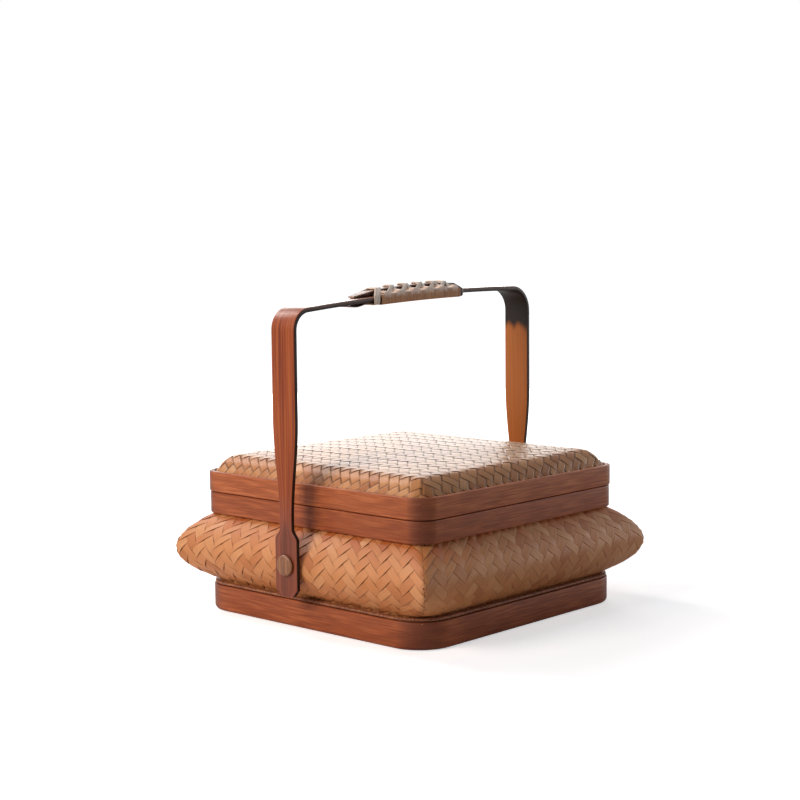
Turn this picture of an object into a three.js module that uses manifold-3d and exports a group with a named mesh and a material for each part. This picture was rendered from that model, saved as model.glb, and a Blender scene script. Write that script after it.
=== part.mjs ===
// A square lidded carrying box of plaited bamboo, with a bent bamboo handle that swings on two pegs.
// Millimetres, +Z up. The origin is the centre of the foot, on the surface that the box stands on.
// The handle's pivot axis runs along Y, and the front is the side at -Y.

import * as THREE from "three";
import { mergeVertices } from "three/addons/utils/BufferGeometryUtils.js";
import Module from "manifold-3d";

// Fits
const seat = 0.3; // gap left between two pieces that touch
const lidClearance = 0.6; // between the rim's lip and the lid's skin, on each side
const pegClearance = 0.3; // round a peg, in every hole it goes through
const handleGap = 0.65; // between the belly of the box and the handle's pads

// Foot: a bamboo board band bent round a hoop, with the floor on the hoop
const footHalf = 117; // half side of the band, outside
const footHeight = 20;
const footWall = 6;
const footCorner = 29; // corner radius, outside
const footEdgeRound = 3; // rounding of the band's lower outer edge
const hoopWall = 3;
const hoopBottom = 2; // height of the hoop's lower edge above the ground
const hoopTop = 16.9;
const floorThickness = 2.2;
const battenWidth = 14;
const battenThickness = 3;
const battenSpacing = 90;
const beadHeight = 2.6; // cane bead laid on the band, under the belly
const beadWidth = 4.4;

// Box: a plaited skin with a belly, and a thin plaited lining inside it
const skinThickness = 1.6;
const liningThickness = 1.2;
const skirtDepth = 11; // how far the skin reaches down inside the foot band
const bellyHalf = 130.6;
const bellyHeight = 48.5;
const bellyCorner = 2.5; // the skin's corners are creased at the belly
const lowerFullness = 2.15; // higher is rounder
const upperFullness = 1.75;

// Rim: an outer band and an inner lip hold the skin's top edge, and the lip locates the lid
const rimHalf = 114.4;
const rimCorner = 16;
const rimWall = 3.4;
const rimBottom = 75.1;
const rimHeight = 16.5;
const lipWall = 2.5;
const lipRise = 6.4; // above the rim band
const lipDepth = 14.4; // below the top of the rim band
const collarInset = 1.6; // the skin ends this far below the top of the rim band
const bandEdge = 0.6; // chamfer on the edges of bands and hoops

// Lid: a band and an inner hoop hold a low plaited dome
const lidBandWall = 3.7;
const lidBandHeight = 15.6;
const lidSkirtInset = 1.2; // the lid's skin starts this far above the lower edge of its band
const shoulderReach = 14.5; // from the edge of the dome in to its flat top
const shoulderRise = 11.6;
const shoulderFullness = 1.88;
const shoulderInset = 1.5; // the dome springs this far inside the skirt
const domeCrown = 4.2;
const domeCorner = 3; // least corner radius of the dome
const lidHoopWall = 2.2;
const lidHoopHeight = 4.6;
const lidHoopInset = 4; // from the top of the band down to the top of the hoop

// Handle: one bamboo strip, heated and bent, wide at the top and waisted above its pads
const stripThickness = 3.5;
const stripWidth = 23.5;
const stripEdge = 0.6; // chamfer along the strip
const pivotHeight = 50.5;
const barFrontHeight = 233.6; // middle of the strip where its top meets the front leg
const barRearHeight = 242;
const barCrown = 4; // arch of the top, over a straight line
const frontBendRadius = 14.5;
const rearBendRadius = 19;
const padWidth = 22.4;
const padDrop = 23; // from the pivot down to the end of the pad
const padEndWidth = 13;
const padChamfer = 5.5; // height of the chamfered end
const padRise = 19.5; // from the pivot up to the shoulder
const shoulderHeight = 6; // from the pad in to the waist
const waistWidth = 12.3;
const waistHeight = 8;
const taperHeight = 72; // from the waist out to the full width

// Pegs: turned pegs that the handle swings on, each keyed behind a block inside the box
const pegHeadDiameter = 15.5;
const pegHeadHeight = 2.4;
const pegDiameter = 8;
const pegTail = 8.5; // beyond the block
const blockWidth = 26;
const blockHeight = 20;
const blockEdge = 2.2; // thickness of the block at its thinner edge
const keyLength = 20;
const keyHeight = 3;
const keyDepth = 4;
const keyTaper = 0.6; // narrowing on each side, end to end

// Grip: splints bound to the top of the handle by a winding of split cane between two collars
const caneWidth = 3.2;
const caneThickness = 1.6;
const windingLoops = 20;
const windingPitch = 3.8;
const windingMiddle = 0; // along Y
const windingTurnRadius = 2.4; // where each end turns to meet its collar
const loopCornerRadius = 2.2;
const collarThickness = 1.2;
const frontCollarWidth = 6;
const rearCollarWidth = 3;
const topSplintWidth = 9;
const topSplintThickness = 1.2;
const topSplintFront = -82;
const topSplintRear = 50;
const topSplintRise = 4.5; // arch over the padding
const underSplintWidth = 14;
const underSplintThickness = 0.8;
const underSplintFront = -84;
const underSplintRear = 52;
const underSplintBow = 1.6; // how far its free front end bows below the strip
const paddingWidth = 16;

// Counts
const cornerSteps = 5;
const bulgeSteps = 6;
const shoulderSteps = 5;
const edgeSteps = 3;
const bendSteps = 7;
const barSteps = 16;
const taperSteps = 6;
const splintSteps = 16;
const roundSides = 24;
const loopCornerSteps = 2;

// Places worked out from the sizes
const footHoopHalf = footHalf - footWall - seat - skinThickness - seat;
const footHoopCorner = footCorner - (footHalf - footHoopHalf);
const skirtHalf = footHalf - footWall - seat;
const skirtCorner = footCorner - footWall - seat;
const floorBottom = hoopTop + seat;
const floorTop = floorBottom + floorThickness;
const beadBottom = footHeight + seat;
const bulgeBottom = beadBottom + beadHeight;
const bulgeTop = rimBottom - seat;
const rimTop = rimBottom + rimHeight;
const neckHalf = rimHalf - rimWall - seat;
const neckCorner = rimCorner - rimWall - seat;
const lipHalf = neckHalf - skinThickness - seat;
const lipCorner = rimCorner - (rimHalf - lipHalf);
const lipBottom = rimTop - lipDepth;
const lipTop = rimTop + lipRise;
const lidSkinHalf = lipHalf + lidClearance + skinThickness;
const lidSkinCorner = rimCorner - (rimHalf - lidSkinHalf);
const lidHalf = lidSkinHalf + seat + lidBandWall;
const lidCorner = lidSkinCorner + seat + lidBandWall;
const lidBottom = rimTop + seat;
const lidBandTop = lidBottom + lidBandHeight;
const lidHoopTop = lidBandTop - lidHoopInset;
const legY = bellyHalf + handleGap + stripThickness / 2;
const windingFront = windingMiddle - (windingLoops * windingPitch) / 2;
const windingRear = windingFront + windingLoops * windingPitch;
const windingTail = windingTurnRadius + caneWidth + seat;
const frontCollarRear = windingFront - windingTail;
const rearCollarFront = windingRear + windingTail;
const caneMiddle = seat + caneThickness / 2; // from what the cane is wound on to its middle
const collarMiddle = seat + collarThickness / 2;

// Finishes of the real pieces
const finishes = {
  band: { color: 0x9a5536, roughness: 0.45 },
  skin: { color: 0xc98f62, roughness: 0.4 },
  lining: { color: 0xb98a5e, roughness: 0.7 },
  board: { color: 0xa9744b, roughness: 0.7 },
  handle: { color: 0x9c4f2a, roughness: 0.4 },
  peg: { color: 0x7d5637, roughness: 0.5 },
  cane: { color: 0xb08058, roughness: 0.5 },
};

const wasm = await Module();
wasm.setup();

// Solids and surfaces

function signedVolume(points, faces) {
  const cross = new THREE.Vector3();
  return faces.reduce((sum, [a, b, c]) => sum + points[a].dot(cross.crossVectors(points[b], points[c])) / 6, 0);
}

// A surface over rows of points, each row going once round. The last row joins the first if it is closed,
// and otherwise both ends are capped. Its faces are turned to point outwards.
function surfaceOf(rows, closed = false) {
  const around = rows[0].length;
  const points = rows.flat();
  const faces = [];
  for (let row = 0; row < (closed ? rows.length : rows.length - 1); row++) {
    const here = row * around;
    const next = ((row + 1) % rows.length) * around;
    for (let k = 0; k < around; k++) {
      const k1 = (k + 1) % around;
      faces.push([here + k, here + k1, next + k1], [here + k, next + k1, next + k]);
    }
  }
  if (!closed) {
    for (const row of [0, rows.length - 1]) {
      const centre = new THREE.Vector3();
      rows[row].forEach((point) => centre.addScaledVector(point, 1 / around));
      points.push(centre);
      for (let k = 0; k < around; k++) {
        const edge = [row * around + k, row * around + ((k + 1) % around)];
        faces.push([...(row === 0 ? edge.reverse() : edge), points.length - 1]);
      }
    }
  }
  const outward = signedVolume(points, faces) > 0 ? faces : faces.map((face) => face.toReversed());
  const geometry = new THREE.BufferGeometry().setFromPoints(points);
  geometry.setIndex(outward.flat());
  return geometry;
}

function solidOf(geometry) {
  const bare = geometry.clone();
  bare.deleteAttribute("normal");
  bare.deleteAttribute("uv");
  const merged = mergeVertices(bare, 1e-3);
  const mesh = new wasm.Mesh({
    numProp: 3,
    vertProperties: new Float32Array(merged.getAttribute("position").array),
    triVerts: new Uint32Array(merged.index.array),
  });
  return new wasm.Manifold(mesh);
}

function geometryOf(solid) {
  const mesh = solid.getMesh();
  const positions = new Float32Array(mesh.numVert * 3);
  for (let i = 0; i < mesh.numVert; i++) {
    positions.set(mesh.vertProperties.subarray(i * mesh.numProp, i * mesh.numProp + 3), i * 3);
  }
  const geometry = new THREE.BufferGeometry();
  geometry.setAttribute("position", new THREE.BufferAttribute(positions, 3));
  geometry.setIndex(new THREE.BufferAttribute(new Uint32Array(mesh.triVerts), 1));
  return geometry;
}

function cut(geometry, ...tools) {
  return geometryOf(tools.reduce((left, tool) => left.subtract(solidOf(tool)), solidOf(geometry)));
}

// Square pieces with rounded corners

function squareRow(half, corner, z) {
  const row = [];
  for (let quarter = 0; quarter < 4; quarter++) {
    const x = (half - corner) * (quarter === 0 || quarter === 3 ? 1 : -1);
    const y = (half - corner) * (quarter < 2 ? 1 : -1);
    for (let step = 0; step <= cornerSteps; step++) {
      const angle = ((quarter + step / cornerSteps) * Math.PI) / 2;
      row.push(new THREE.Vector3(x + corner * Math.cos(angle), y + corner * Math.sin(angle), z));
    }
  }
  return row;
}

// A hoop whose section is a list of [distance in from its outer face, height]
function hoop(half, corner, section) {
  return surfaceOf(section.map(([inset, z]) => squareRow(half - inset, corner - inset, z)), true);
}

function bandSection(wall, bottom, top) {
  return [
    [bandEdge, bottom],
    [0, bottom + bandEdge],
    [0, top - bandEdge],
    [bandEdge, top],
    [wall - bandEdge, top],
    [wall, top - bandEdge],
    [wall, bottom + bandEdge],
    [wall - bandEdge, bottom],
  ];
}

// The same profile of a wall, moved inwards, square to the wall. A profile is a list of { half, corner, z }.
function offsetProfile(profile, distance) {
  const along = (a, b) => new THREE.Vector2(a.z - b.z, b.half - a.half).normalize();
  return profile.map((point, i) => {
    const before = along(profile[Math.max(i - 1, 0)], profile[Math.max(i, 1)]);
    const last = profile.length - 1;
    const after = along(profile[Math.min(i, last - 1)], profile[Math.min(i + 1, last)]);
    const mitre = before.clone().add(after).normalize();
    mitre.multiplyScalar(distance / mitre.dot(before));
    const corner = Math.max(point.corner + mitre.x, bandEdge);
    return { half: point.half + mitre.x, corner, z: point.z + mitre.y };
  });
}

function withEnds(profile, firstZ, lastZ) {
  const ended = profile.map((point) => ({ ...point }));
  ended[0].z = firstZ;
  ended.at(-1).z = lastZ;
  return ended;
}

function rowsOf(profile) {
  return profile.map(({ half, corner, z }) => squareRow(half, corner, z));
}

function shellBetween(outer, inner) {
  return surfaceOf([...rowsOf(outer), ...rowsOf(inner).reverse()], true);
}

// Foot

function footBand() {
  const lowerEdge = [];
  for (let step = 0; step <= edgeSteps; step++) {
    const angle = (step / edgeSteps) * (Math.PI / 2);
    lowerEdge.push([footEdgeRound * (1 - Math.sin(angle)), footEdgeRound * (1 - Math.cos(angle))]);
  }
  return hoop(footHalf, footCorner, [
    ...lowerEdge,
    [0, footHeight - bandEdge],
    [bandEdge, footHeight],
    [footWall, footHeight],
    [footWall, 0],
  ]);
}

function battenAt(y, clearance) {
  const length = 2 * footHoopHalf + (clearance ? 2 * seat : -2 * bandEdge);
  const width = battenWidth + 2 * clearance;
  const thickness = battenThickness + 2 * clearance;
  const batten = new THREE.BoxGeometry(length, width, thickness);
  return batten.translate(0, y, hoopTop - battenThickness / 2);
}

function footHoop() {
  const whole = hoop(footHoopHalf, footHoopCorner, bandSection(hoopWall, hoopBottom, hoopTop));
  return cut(whole, battenAt(-battenSpacing / 2, seat), battenAt(battenSpacing / 2, seat));
}

function floorMat() {
  const rows = [floorBottom, floorTop].map((z) => squareRow(footHoopHalf, footHoopCorner, z));
  return surfaceOf(rows);
}

function footBead() {
  const section = [];
  for (let step = 0; step <= 2 * edgeSteps; step++) {
    const angle = (step / (2 * edgeSteps)) * Math.PI;
    const inset = (beadWidth / 2) * (1 - Math.cos(angle));
    section.push([inset, beadBottom + beadHeight * Math.sin(angle)]);
  }
  return hoop(footHalf, footCorner, section);
}

// Box

function bulgeProfile() {
  const profile = [{ half: skirtHalf, corner: skirtCorner, z: footHeight - skirtDepth }];
  const addPoint = (share, end, endCorner, endZ, fullness) => {
    profile.push({
      half: end + (bellyHalf - end) * (1 - share ** fullness),
      corner: bellyCorner + (endCorner - bellyCorner) * share ** 2,
      z: bellyHeight + (endZ - bellyHeight) * share,
    });
  };
  for (let step = bulgeSteps; step >= 0; step--) {
    addPoint(step / bulgeSteps, skirtHalf, skirtCorner, bulgeBottom, lowerFullness);
  }
  for (let step = 1; step <= bulgeSteps; step++) {
    addPoint(step / bulgeSteps, neckHalf, neckCorner, bulgeTop, upperFullness);
  }
  profile.push({ half: neckHalf, corner: neckCorner, z: rimTop - collarInset });
  return profile;
}

const boxProfile = bulgeProfile();
const liningOuter = offsetProfile(boxProfile, skinThickness + seat);
const liningInner = offsetProfile(boxProfile, skinThickness + seat + liningThickness);

// Half side of a profile at a height
function halfAt(profile, z) {
  const i = profile.findIndex((point) => point.z >= z);
  const [low, high] = [profile[i - 1], profile[i]];
  return low.half + ((high.half - low.half) * (z - low.z)) / (high.z - low.z);
}

function pegBore() {
  const bore = new THREE.CylinderGeometry(
    pegDiameter / 2 + pegClearance,
    pegDiameter / 2 + pegClearance,
    2 * (legY + stripThickness),
    roundSides,
  );
  return bore.translate(0, 0, pivotHeight);
}

function boxSkin() {
  const [bottom, top] = [footHeight - skirtDepth, rimTop - collarInset];
  const inner = withEnds(offsetProfile(boxProfile, skinThickness), bottom, top);
  return cut(shellBetween(boxProfile, inner), pegBore());
}

function boxLining() {
  const [bottom, top] = [floorTop + seat, lipBottom - seat];
  const shell = shellBetween(withEnds(liningOuter, bottom, top), withEnds(liningInner, bottom, top));
  return cut(shell, pegBore());
}

function rimBand() {
  return hoop(rimHalf, rimCorner, bandSection(rimWall, rimBottom, rimTop));
}

function rimLip() {
  return hoop(lipHalf, lipCorner, bandSection(lipWall, lipBottom, lipTop));
}

// Lid

function domeProfile() {
  const profile = [
    { half: lidSkinHalf, corner: lidSkinCorner, z: lidBottom + lidSkirtInset },
    { half: lidSkinHalf, corner: lidSkinCorner, z: lidBandTop - bandEdge },
  ];
  const edge = lidSkinHalf - shoulderInset;
  for (let step = 0; step <= shoulderSteps; step++) {
    const share = 1 - step / shoulderSteps;
    const half = edge - shoulderReach * (1 - share);
    profile.push({
      half,
      corner: Math.max(lidSkinCorner - (lidSkinHalf - half), domeCorner),
      z: lidBandTop + bandEdge + shoulderRise * (1 - share ** shoulderFullness),
    });
  }
  const top = profile.at(-1);
  for (const share of [0.6, 0.2]) {
    profile.push({
      half: top.half * share,
      corner: domeCorner,
      z: top.z + domeCrown * (1 - share ** 2),
    });
  }
  return profile;
}

const lidProfile = domeProfile();

function capBetween(outer, inner) {
  return surfaceOf([...rowsOf(outer).reverse(), ...rowsOf(inner)]);
}

function lidBand() {
  return hoop(lidHalf, lidCorner, bandSection(lidBandWall, lidBottom, lidBandTop));
}

function lidSkin() {
  const inner = offsetProfile(lidProfile, skinThickness);
  inner[0].z = lidProfile[0].z;
  return capBetween(lidProfile, inner);
}

function lidLining() {
  const [outer, inner] = [skinThickness + seat, skinThickness + seat + liningThickness].map((distance) => {
    const profile = offsetProfile(lidProfile, distance);
    profile[0].z = lidHoopTop + seat;
    return profile;
  });
  return capBetween(outer, inner);
}

function lidHoop() {
  const inset = lidHalf - lidBandWall - seat - skinThickness - seat;
  const corner = lidCorner - (lidHalf - inset);
  return hoop(inset, corner, bandSection(lidHoopWall, lidHoopTop - lidHoopHeight, lidHoopTop));
}

// Handle

// Height of the middle of the handle's top, along Y
function barHeight(y) {
  const share = (y + legY) / (2 * legY);
  const straight = barFrontHeight + (barRearHeight - barFrontHeight) * share;
  return straight + barCrown * (1 - (y / legY) ** 2);
}

// Width of a leg, at a height
function legWidth(z) {
  const [padEnd, padTop] = [pivotHeight - padDrop, pivotHeight + padRise];
  if (z < padEnd + padChamfer) {
    return padEndWidth + ((padWidth - padEndWidth) * (z - padEnd)) / padChamfer;
  }
  if (z < padTop) {
    return padWidth;
  }
  if (z < padTop + shoulderHeight) {
    return padWidth + ((waistWidth - padWidth) * (z - padTop)) / shoulderHeight;
  }
  const share = (z - padTop - shoulderHeight - waistHeight) / taperHeight;
  return waistWidth + (stripWidth - waistWidth) * THREE.MathUtils.smoothstep(share, 0, 1);
}

function legHeights() {
  const padEnd = pivotHeight - padDrop;
  const waist = pivotHeight + padRise + shoulderHeight;
  const heights = [padEnd, padEnd + padChamfer, pivotHeight + padRise, waist, waist + waistHeight];
  for (let step = 1; step <= taperSteps; step++) {
    heights.push(waist + waistHeight + (taperHeight * step) / taperSteps);
  }
  return heights;
}

// The bend between a leg and the top, as points [y, z] from the leg to the top
function bend(side) {
  const radius = side < 0 ? frontBendRadius : rearBendRadius;
  const corner = new THREE.Vector2(side * legY, barHeight(side * legY));
  const inside = side * (legY - radius);
  const slope = new THREE.Vector2(inside, barHeight(inside)).sub(corner).normalize();
  const turn = Math.PI - Math.acos(-slope.y);
  const tangent = radius * Math.tan(turn / 2);
  const centre = new THREE.Vector2(corner.x - side * radius, corner.y - tangent);
  const points = [];
  for (let step = 0; step <= bendSteps; step++) {
    const angle = (turn * step) / bendSteps;
    points.push([centre.x + side * radius * Math.cos(angle), centre.y + radius * Math.sin(angle)]);
  }
  return points;
}

// The middle of the strip from the front pad to the rear one: points with the strip's width there
function stripRoute() {
  const leg = (side) => legHeights().map((z) => ({ y: side * legY, z, width: legWidth(z) }));
  const arc = (side) => bend(side).map(([y, z]) => ({ y, z, width: stripWidth }));
  const [front, rear] = [arc(-1), arc(1)];
  const [first, last] = [front.at(-1).y, rear.at(-1).y];
  const top = [];
  for (let step = 1; step < barSteps; step++) {
    const y = first + ((last - first) * step) / barSteps;
    top.push({ y, z: barHeight(y), width: stripWidth });
  }
  return [...leg(-1), ...front, ...top, ...rear.reverse(), ...leg(1).reverse()];
}

function handleStrip() {
  const route = stripRoute();
  const half = stripThickness / 2;
  const rows = route.map((here, i) => {
    const [before, after] = [route[Math.max(i - 1, 0)], route[Math.min(i + 1, route.length - 1)]];
    const along = new THREE.Vector2(after.y - before.y, after.z - before.z).normalize();
    const wide = here.width / 2;
    const section = [
      [wide - stripEdge, half],
      [wide, half - stripEdge],
      [wide, stripEdge - half],
      [wide - stripEdge, -half],
    ];
    const outline = [...section, ...section.map(([x, out]) => [-x, out]).reverse()];
    return outline.map(([x, out]) => new THREE.Vector3(x, here.y - out * along.y, here.z + out * along.x));
  });
  return cut(surfaceOf(rows), pegBore());
}

// Pegs. The rear set is made here, and the front set is the same set turned round.

const [blockBottom, blockTop] = [pivotHeight - blockHeight / 2, pivotHeight + blockHeight / 2];
const blockFace = Math.min(halfAt(liningInner, blockBottom), halfAt(liningInner, blockTop)) - seat - blockEdge;

function keySlot(clearance) {
  const halfHeight = keyHeight / 2 + clearance;
  const outline = new THREE.Shape();
  outline.moveTo(-keyLength / 2, -halfHeight);
  outline.lineTo(keyLength / 2, keyTaper - halfHeight);
  outline.lineTo(keyLength / 2, halfHeight - keyTaper);
  outline.lineTo(-keyLength / 2, halfHeight);
  outline.closePath();
  const depth = keyDepth + 2 * clearance;
  const slot = new THREE.ExtrudeGeometry(outline, { depth, bevelEnabled: false });
  slot.rotateX(Math.PI / 2);
  return slot.translate(0, blockFace - seat + clearance, pivotHeight);
}

function peg() {
  const headBase = legY + stripThickness / 2 + seat;
  const tail = blockFace - pegTail;
  const profile = [new THREE.Vector2(0, tail), new THREE.Vector2(pegDiameter / 2, tail)];
  profile.push(new THREE.Vector2(pegDiameter / 2, headBase), new THREE.Vector2(pegHeadDiameter / 2, headBase));
  for (let step = 0; step < edgeSteps; step++) {
    const angle = (step / edgeSteps) * (Math.PI / 2);
    const round = pegHeadHeight / 2;
    const radius = pegHeadDiameter / 2 - round * (1 - Math.cos(angle));
    profile.push(new THREE.Vector2(radius, headBase + round + round * Math.sin(angle)));
  }
  profile.push(new THREE.Vector2(0, headBase + pegHeadHeight));
  const turned = new THREE.LatheGeometry(profile, roundSides);
  return cut(turned.translate(0, 0, pivotHeight), keySlot(seat));
}

function backingBlock() {
  const outline = new THREE.Shape();
  outline.moveTo(blockFace, blockBottom);
  outline.lineTo(halfAt(liningInner, blockBottom) - seat, blockBottom);
  for (const { half, z } of liningInner.filter((point) => point.z > blockBottom && point.z < blockTop)) {
    outline.lineTo(half - seat, z);
  }
  outline.lineTo(halfAt(liningInner, blockTop) - seat, blockTop);
  outline.lineTo(blockFace, blockTop);
  outline.closePath();
  const block = new THREE.ExtrudeGeometry(outline, { depth: blockWidth, bevelEnabled: false });
  block.rotateX(Math.PI / 2);
  block.rotateZ(Math.PI / 2);
  return cut(block.translate(-blockWidth / 2, 0, 0), pegBore());
}

// Grip

// Height of the top splint's upper face above the strip's, along Y
function topSplintHeight(y) {
  const middle = (topSplintFront + topSplintRear) / 2;
  const share = Math.min(Math.abs(y - middle) / (topSplintRear - middle), 1);
  return seat + topSplintThickness + topSplintRise * (1 - share ** 4);
}

// Depth of the under splint's lower face below the strip's, along Y
function underSplintDepth(y) {
  const share = (y - underSplintFront) / (frontCollarRear - frontCollarWidth - underSplintFront);
  const bow = share < 1 ? Math.sin(Math.PI * share) ** 2 : 0;
  return seat + underSplintThickness + underSplintBow * bow;
}

// A piece that runs along the grip: at each y, outline(y) gives points [x, height over the strip's middle]
function alongGrip(front, rear, outline) {
  const rows = [];
  for (let step = 0; step <= splintSteps; step++) {
    const y = front + ((rear - front) * step) / splintSteps;
    rows.push(outline(y).map(([x, out]) => new THREE.Vector3(x, y, barHeight(y) + out)));
  }
  return surfaceOf(rows);
}

function topSplint() {
  return alongGrip(topSplintFront, topSplintRear, (y) => {
    const top = stripThickness / 2 + topSplintHeight(y);
    const wide = topSplintWidth / 2;
    return [[-wide, top - topSplintThickness], [wide, top - topSplintThickness], [wide, top], [-wide, top]];
  });
}

function underSplint() {
  return alongGrip(underSplintFront, underSplintRear, (y) => {
    const low = -stripThickness / 2 - underSplintDepth(y);
    const wide = underSplintWidth / 2;
    return [[-wide, low], [wide, low], [wide, low + underSplintThickness], [-wide, low + underSplintThickness]];
  });
}

function padding() {
  return alongGrip(frontCollarRear - frontCollarWidth, rearCollarFront, (y) => {
    const low = stripThickness / 2 + seat;
    const top = stripThickness / 2 + topSplintHeight(y) - topSplintThickness - seat;
    const [wide, narrow] = [paddingWidth / 2, topSplintWidth / 2];
    return [[-wide, low], [wide, low], [narrow, top], [-narrow, top]];
  });
}

// One loop round the bound pieces at y, a distance out from them: points { x, out, normal } from the
// middle of the underside, round by +X, and back
function loopAround(y, distance) {
  const wide = stripWidth / 2 + distance;
  const narrow = topSplintWidth / 2 + distance / 2;
  const low = -stripThickness / 2 - underSplintDepth(y) - distance;
  const top = stripThickness / 2 + topSplintHeight(y) + distance;
  const side = stripThickness / 2;
  const corners = [[wide, low], [wide, side], [narrow, top], [-narrow, top], [-wide, side], [-wide, low]];
  const loop = [{ x: 0, out: low, normal: [0, -1] }];
  corners.forEach(([x, out], i) => {
    const corner = new THREE.Vector2(x, out);
    const [before, after] = [corners.at(i - 1), corners[(i + 1) % corners.length]];
    const edgeIn = new THREE.Vector2(x - before[0], out - before[1]).normalize();
    const edgeOut = new THREE.Vector2(after[0] - x, after[1] - out).normalize();
    const first = Math.atan2(-edgeIn.x, edgeIn.y);
    const turn = Math.acos(THREE.MathUtils.clamp(edgeIn.dot(edgeOut), -1, 1));
    const middle = first + turn / 2;
    const back = loopCornerRadius / Math.cos(turn / 2);
    const centre = corner.clone().sub(new THREE.Vector2(Math.cos(middle), Math.sin(middle)).multiplyScalar(back));
    for (let step = 0; step <= loopCornerSteps; step++) {
      const angle = first + (turn * step) / loopCornerSteps;
      const normal = [Math.cos(angle), Math.sin(angle)];
      loop.push({
        x: centre.x + loopCornerRadius * normal[0],
        out: centre.y + loopCornerRadius * normal[1],
        normal,
      });
    }
  });
  return loop;
}

function collar(front, width) {
  const y = front + width / 2;
  const loop = loopAround(y, collarMiddle).slice(1);
  const rows = loop.map(({ x, out, normal }) => {
    const section = [[-width / 2, -1], [width / 2, -1], [width / 2, 1], [-width / 2, 1]];
    return section.map(([along, side]) => {
      const lift = (side * collarThickness) / 2;
      const z = barHeight(y) + out + lift * normal[1];
      return new THREE.Vector3(x + lift * normal[0], y + along, z);
    });
  });
  return surfaceOf(rows, true);
}

// The middle of the cane, one unbroken route: a straight end square to the front collar, a quarter turn,
// the loops, a quarter turn and a straight end square to the rear collar
function caneRoute() {
  const route = [];
  const add = (x, y, out, normal) => {
    const at = new THREE.Vector3(x, y, barHeight(y) + out);
    route.push({ at, normal: new THREE.Vector3(normal[0], 0, normal[1]) });
  };
  const addEnd = (side, y) => {
    const out = loopAround(y, caneMiddle)[0].out;
    const turn = [];
    for (let step = 0; step <= edgeSteps; step++) {
      const angle = (step / edgeSteps) * (Math.PI / 2);
      const x = side * windingTurnRadius * Math.sin(angle);
      turn.push([x, y + side * windingTurnRadius * (1 - Math.cos(angle))]);
    }
    turn.push([side * windingTurnRadius, y + side * (windingTurnRadius + caneWidth)]);
    (side < 0 ? turn.reverse() : turn).forEach(([x, along]) => add(x, along, out, [0, -1]));
  };
  addEnd(-1, windingFront);
  for (let turn = 0; turn < windingLoops; turn++) {
    const count = loopAround(windingFront, caneMiddle).length;
    for (let step = turn === 0 ? 1 : 0; step < count; step++) {
      const y = windingFront + windingPitch * (turn + step / count);
      const { x, out, normal } = loopAround(y, caneMiddle)[step];
      add(x, y, out, normal);
    }
  }
  addEnd(1, windingRear);
  return route;
}

function caneRows() {
  const route = caneRoute();
  return route.map(({ at, normal }, i) => {
    const along = route[Math.min(i + 1, route.length - 1)].at.clone().sub(route[Math.max(i - 1, 0)].at);
    along.addScaledVector(normal, -along.dot(normal)).normalize();
    const across = new THREE.Vector3().crossVectors(along, normal);
    const row = [];
    for (let side = 0; side < 6; side++) {
      const angle = (side * Math.PI) / 3;
      const wide = (caneWidth / 2) * Math.cos(angle);
      const high = (caneThickness / 2) * (Math.sin(angle) / Math.sin(Math.PI / 3));
      row.push(at.clone().addScaledVector(across, wide).addScaledVector(normal, high));
    }
    return row;
  });
}

// Least distance between points of the cane that are at least half a loop apart along it
function leastGap(rows) {
  const apart = Math.floor(loopAround(windingFront, caneMiddle).length / 2);
  let least = Infinity;
  rows.forEach((row, i) => {
    for (let j = i + apart; j < rows.length; j++) {
      if (row[0].distanceTo(rows[j][0]) < 4 * windingPitch) {
        row.forEach((a) => rows[j].forEach((b) => (least = Math.min(least, a.distanceTo(b)))));
      }
    }
  });
  return least;
}

// Assembly

function piece(name, geometry, finish) {
  geometry.computeVertexNormals();
  const mesh = new THREE.Mesh(geometry, new THREE.MeshStandardMaterial({ ...finishes[finish], metalness: 0 }));
  mesh.name = name;
  return mesh;
}

function turned(geometry) {
  return geometry.rotateZ(Math.PI);
}

const box = new THREE.Group();
box.add(
  piece("foot_band", footBand(), "band"),
  piece("foot_hoop", footHoop(), "board"),
  piece("foot_bead", footBead(), "cane"),
  piece("floor_batten_front", battenAt(-battenSpacing / 2, 0), "board"),
  piece("floor_batten_rear", battenAt(battenSpacing / 2, 0), "board"),
  piece("floor_mat", floorMat(), "lining"),
  piece("box_skin", boxSkin(), "skin"),
  piece("box_lining", boxLining(), "lining"),
  piece("rim_band", rimBand(), "band"),
  piece("rim_lip", rimLip(), "board"),
  piece("peg_rear", peg(), "peg"),
  piece("peg_front", turned(peg()), "peg"),
  piece("peg_block_rear", backingBlock(), "board"),
  piece("peg_block_front", turned(backingBlock()), "board"),
  piece("peg_key_rear", keySlot(0), "peg"),
  piece("peg_key_front", turned(keySlot(0)), "peg"),
);

const lid = new THREE.Group();
lid.add(
  piece("lid_band", lidBand(), "band"),
  piece("lid_skin", lidSkin(), "skin"),
  piece("lid_lining", lidLining(), "lining"),
  piece("lid_hoop", lidHoop(), "board"),
);

const windingRows = caneRows();
console.log("least gap of the winding to itself: " + leastGap(windingRows).toFixed(2) + " mm");

const handle = new THREE.Group();
handle.add(
  piece("handle_strip", handleStrip(), "handle"),
  piece("grip_top_splint", topSplint(), "cane"),
  piece("grip_under_splint", underSplint(), "cane"),
  piece("grip_padding", padding(), "cane"),
  piece("grip_winding", surfaceOf(windingRows), "cane"),
  piece("grip_collar_front", collar(frontCollarRear - frontCollarWidth, frontCollarWidth), "cane"),
  piece("grip_collar_rear", collar(rearCollarFront, rearCollarWidth), "cane"),
);

const basket = new THREE.Group();
basket.add(box, lid, handle);

export default basket;
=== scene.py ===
"""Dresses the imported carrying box: plaited bamboo skins, bent bands, a swing handle and its bound grip.

Everything is in metres in the frame of the solids: +Z up, the front at -Y, the handle's pivots along Y.
"""

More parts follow.
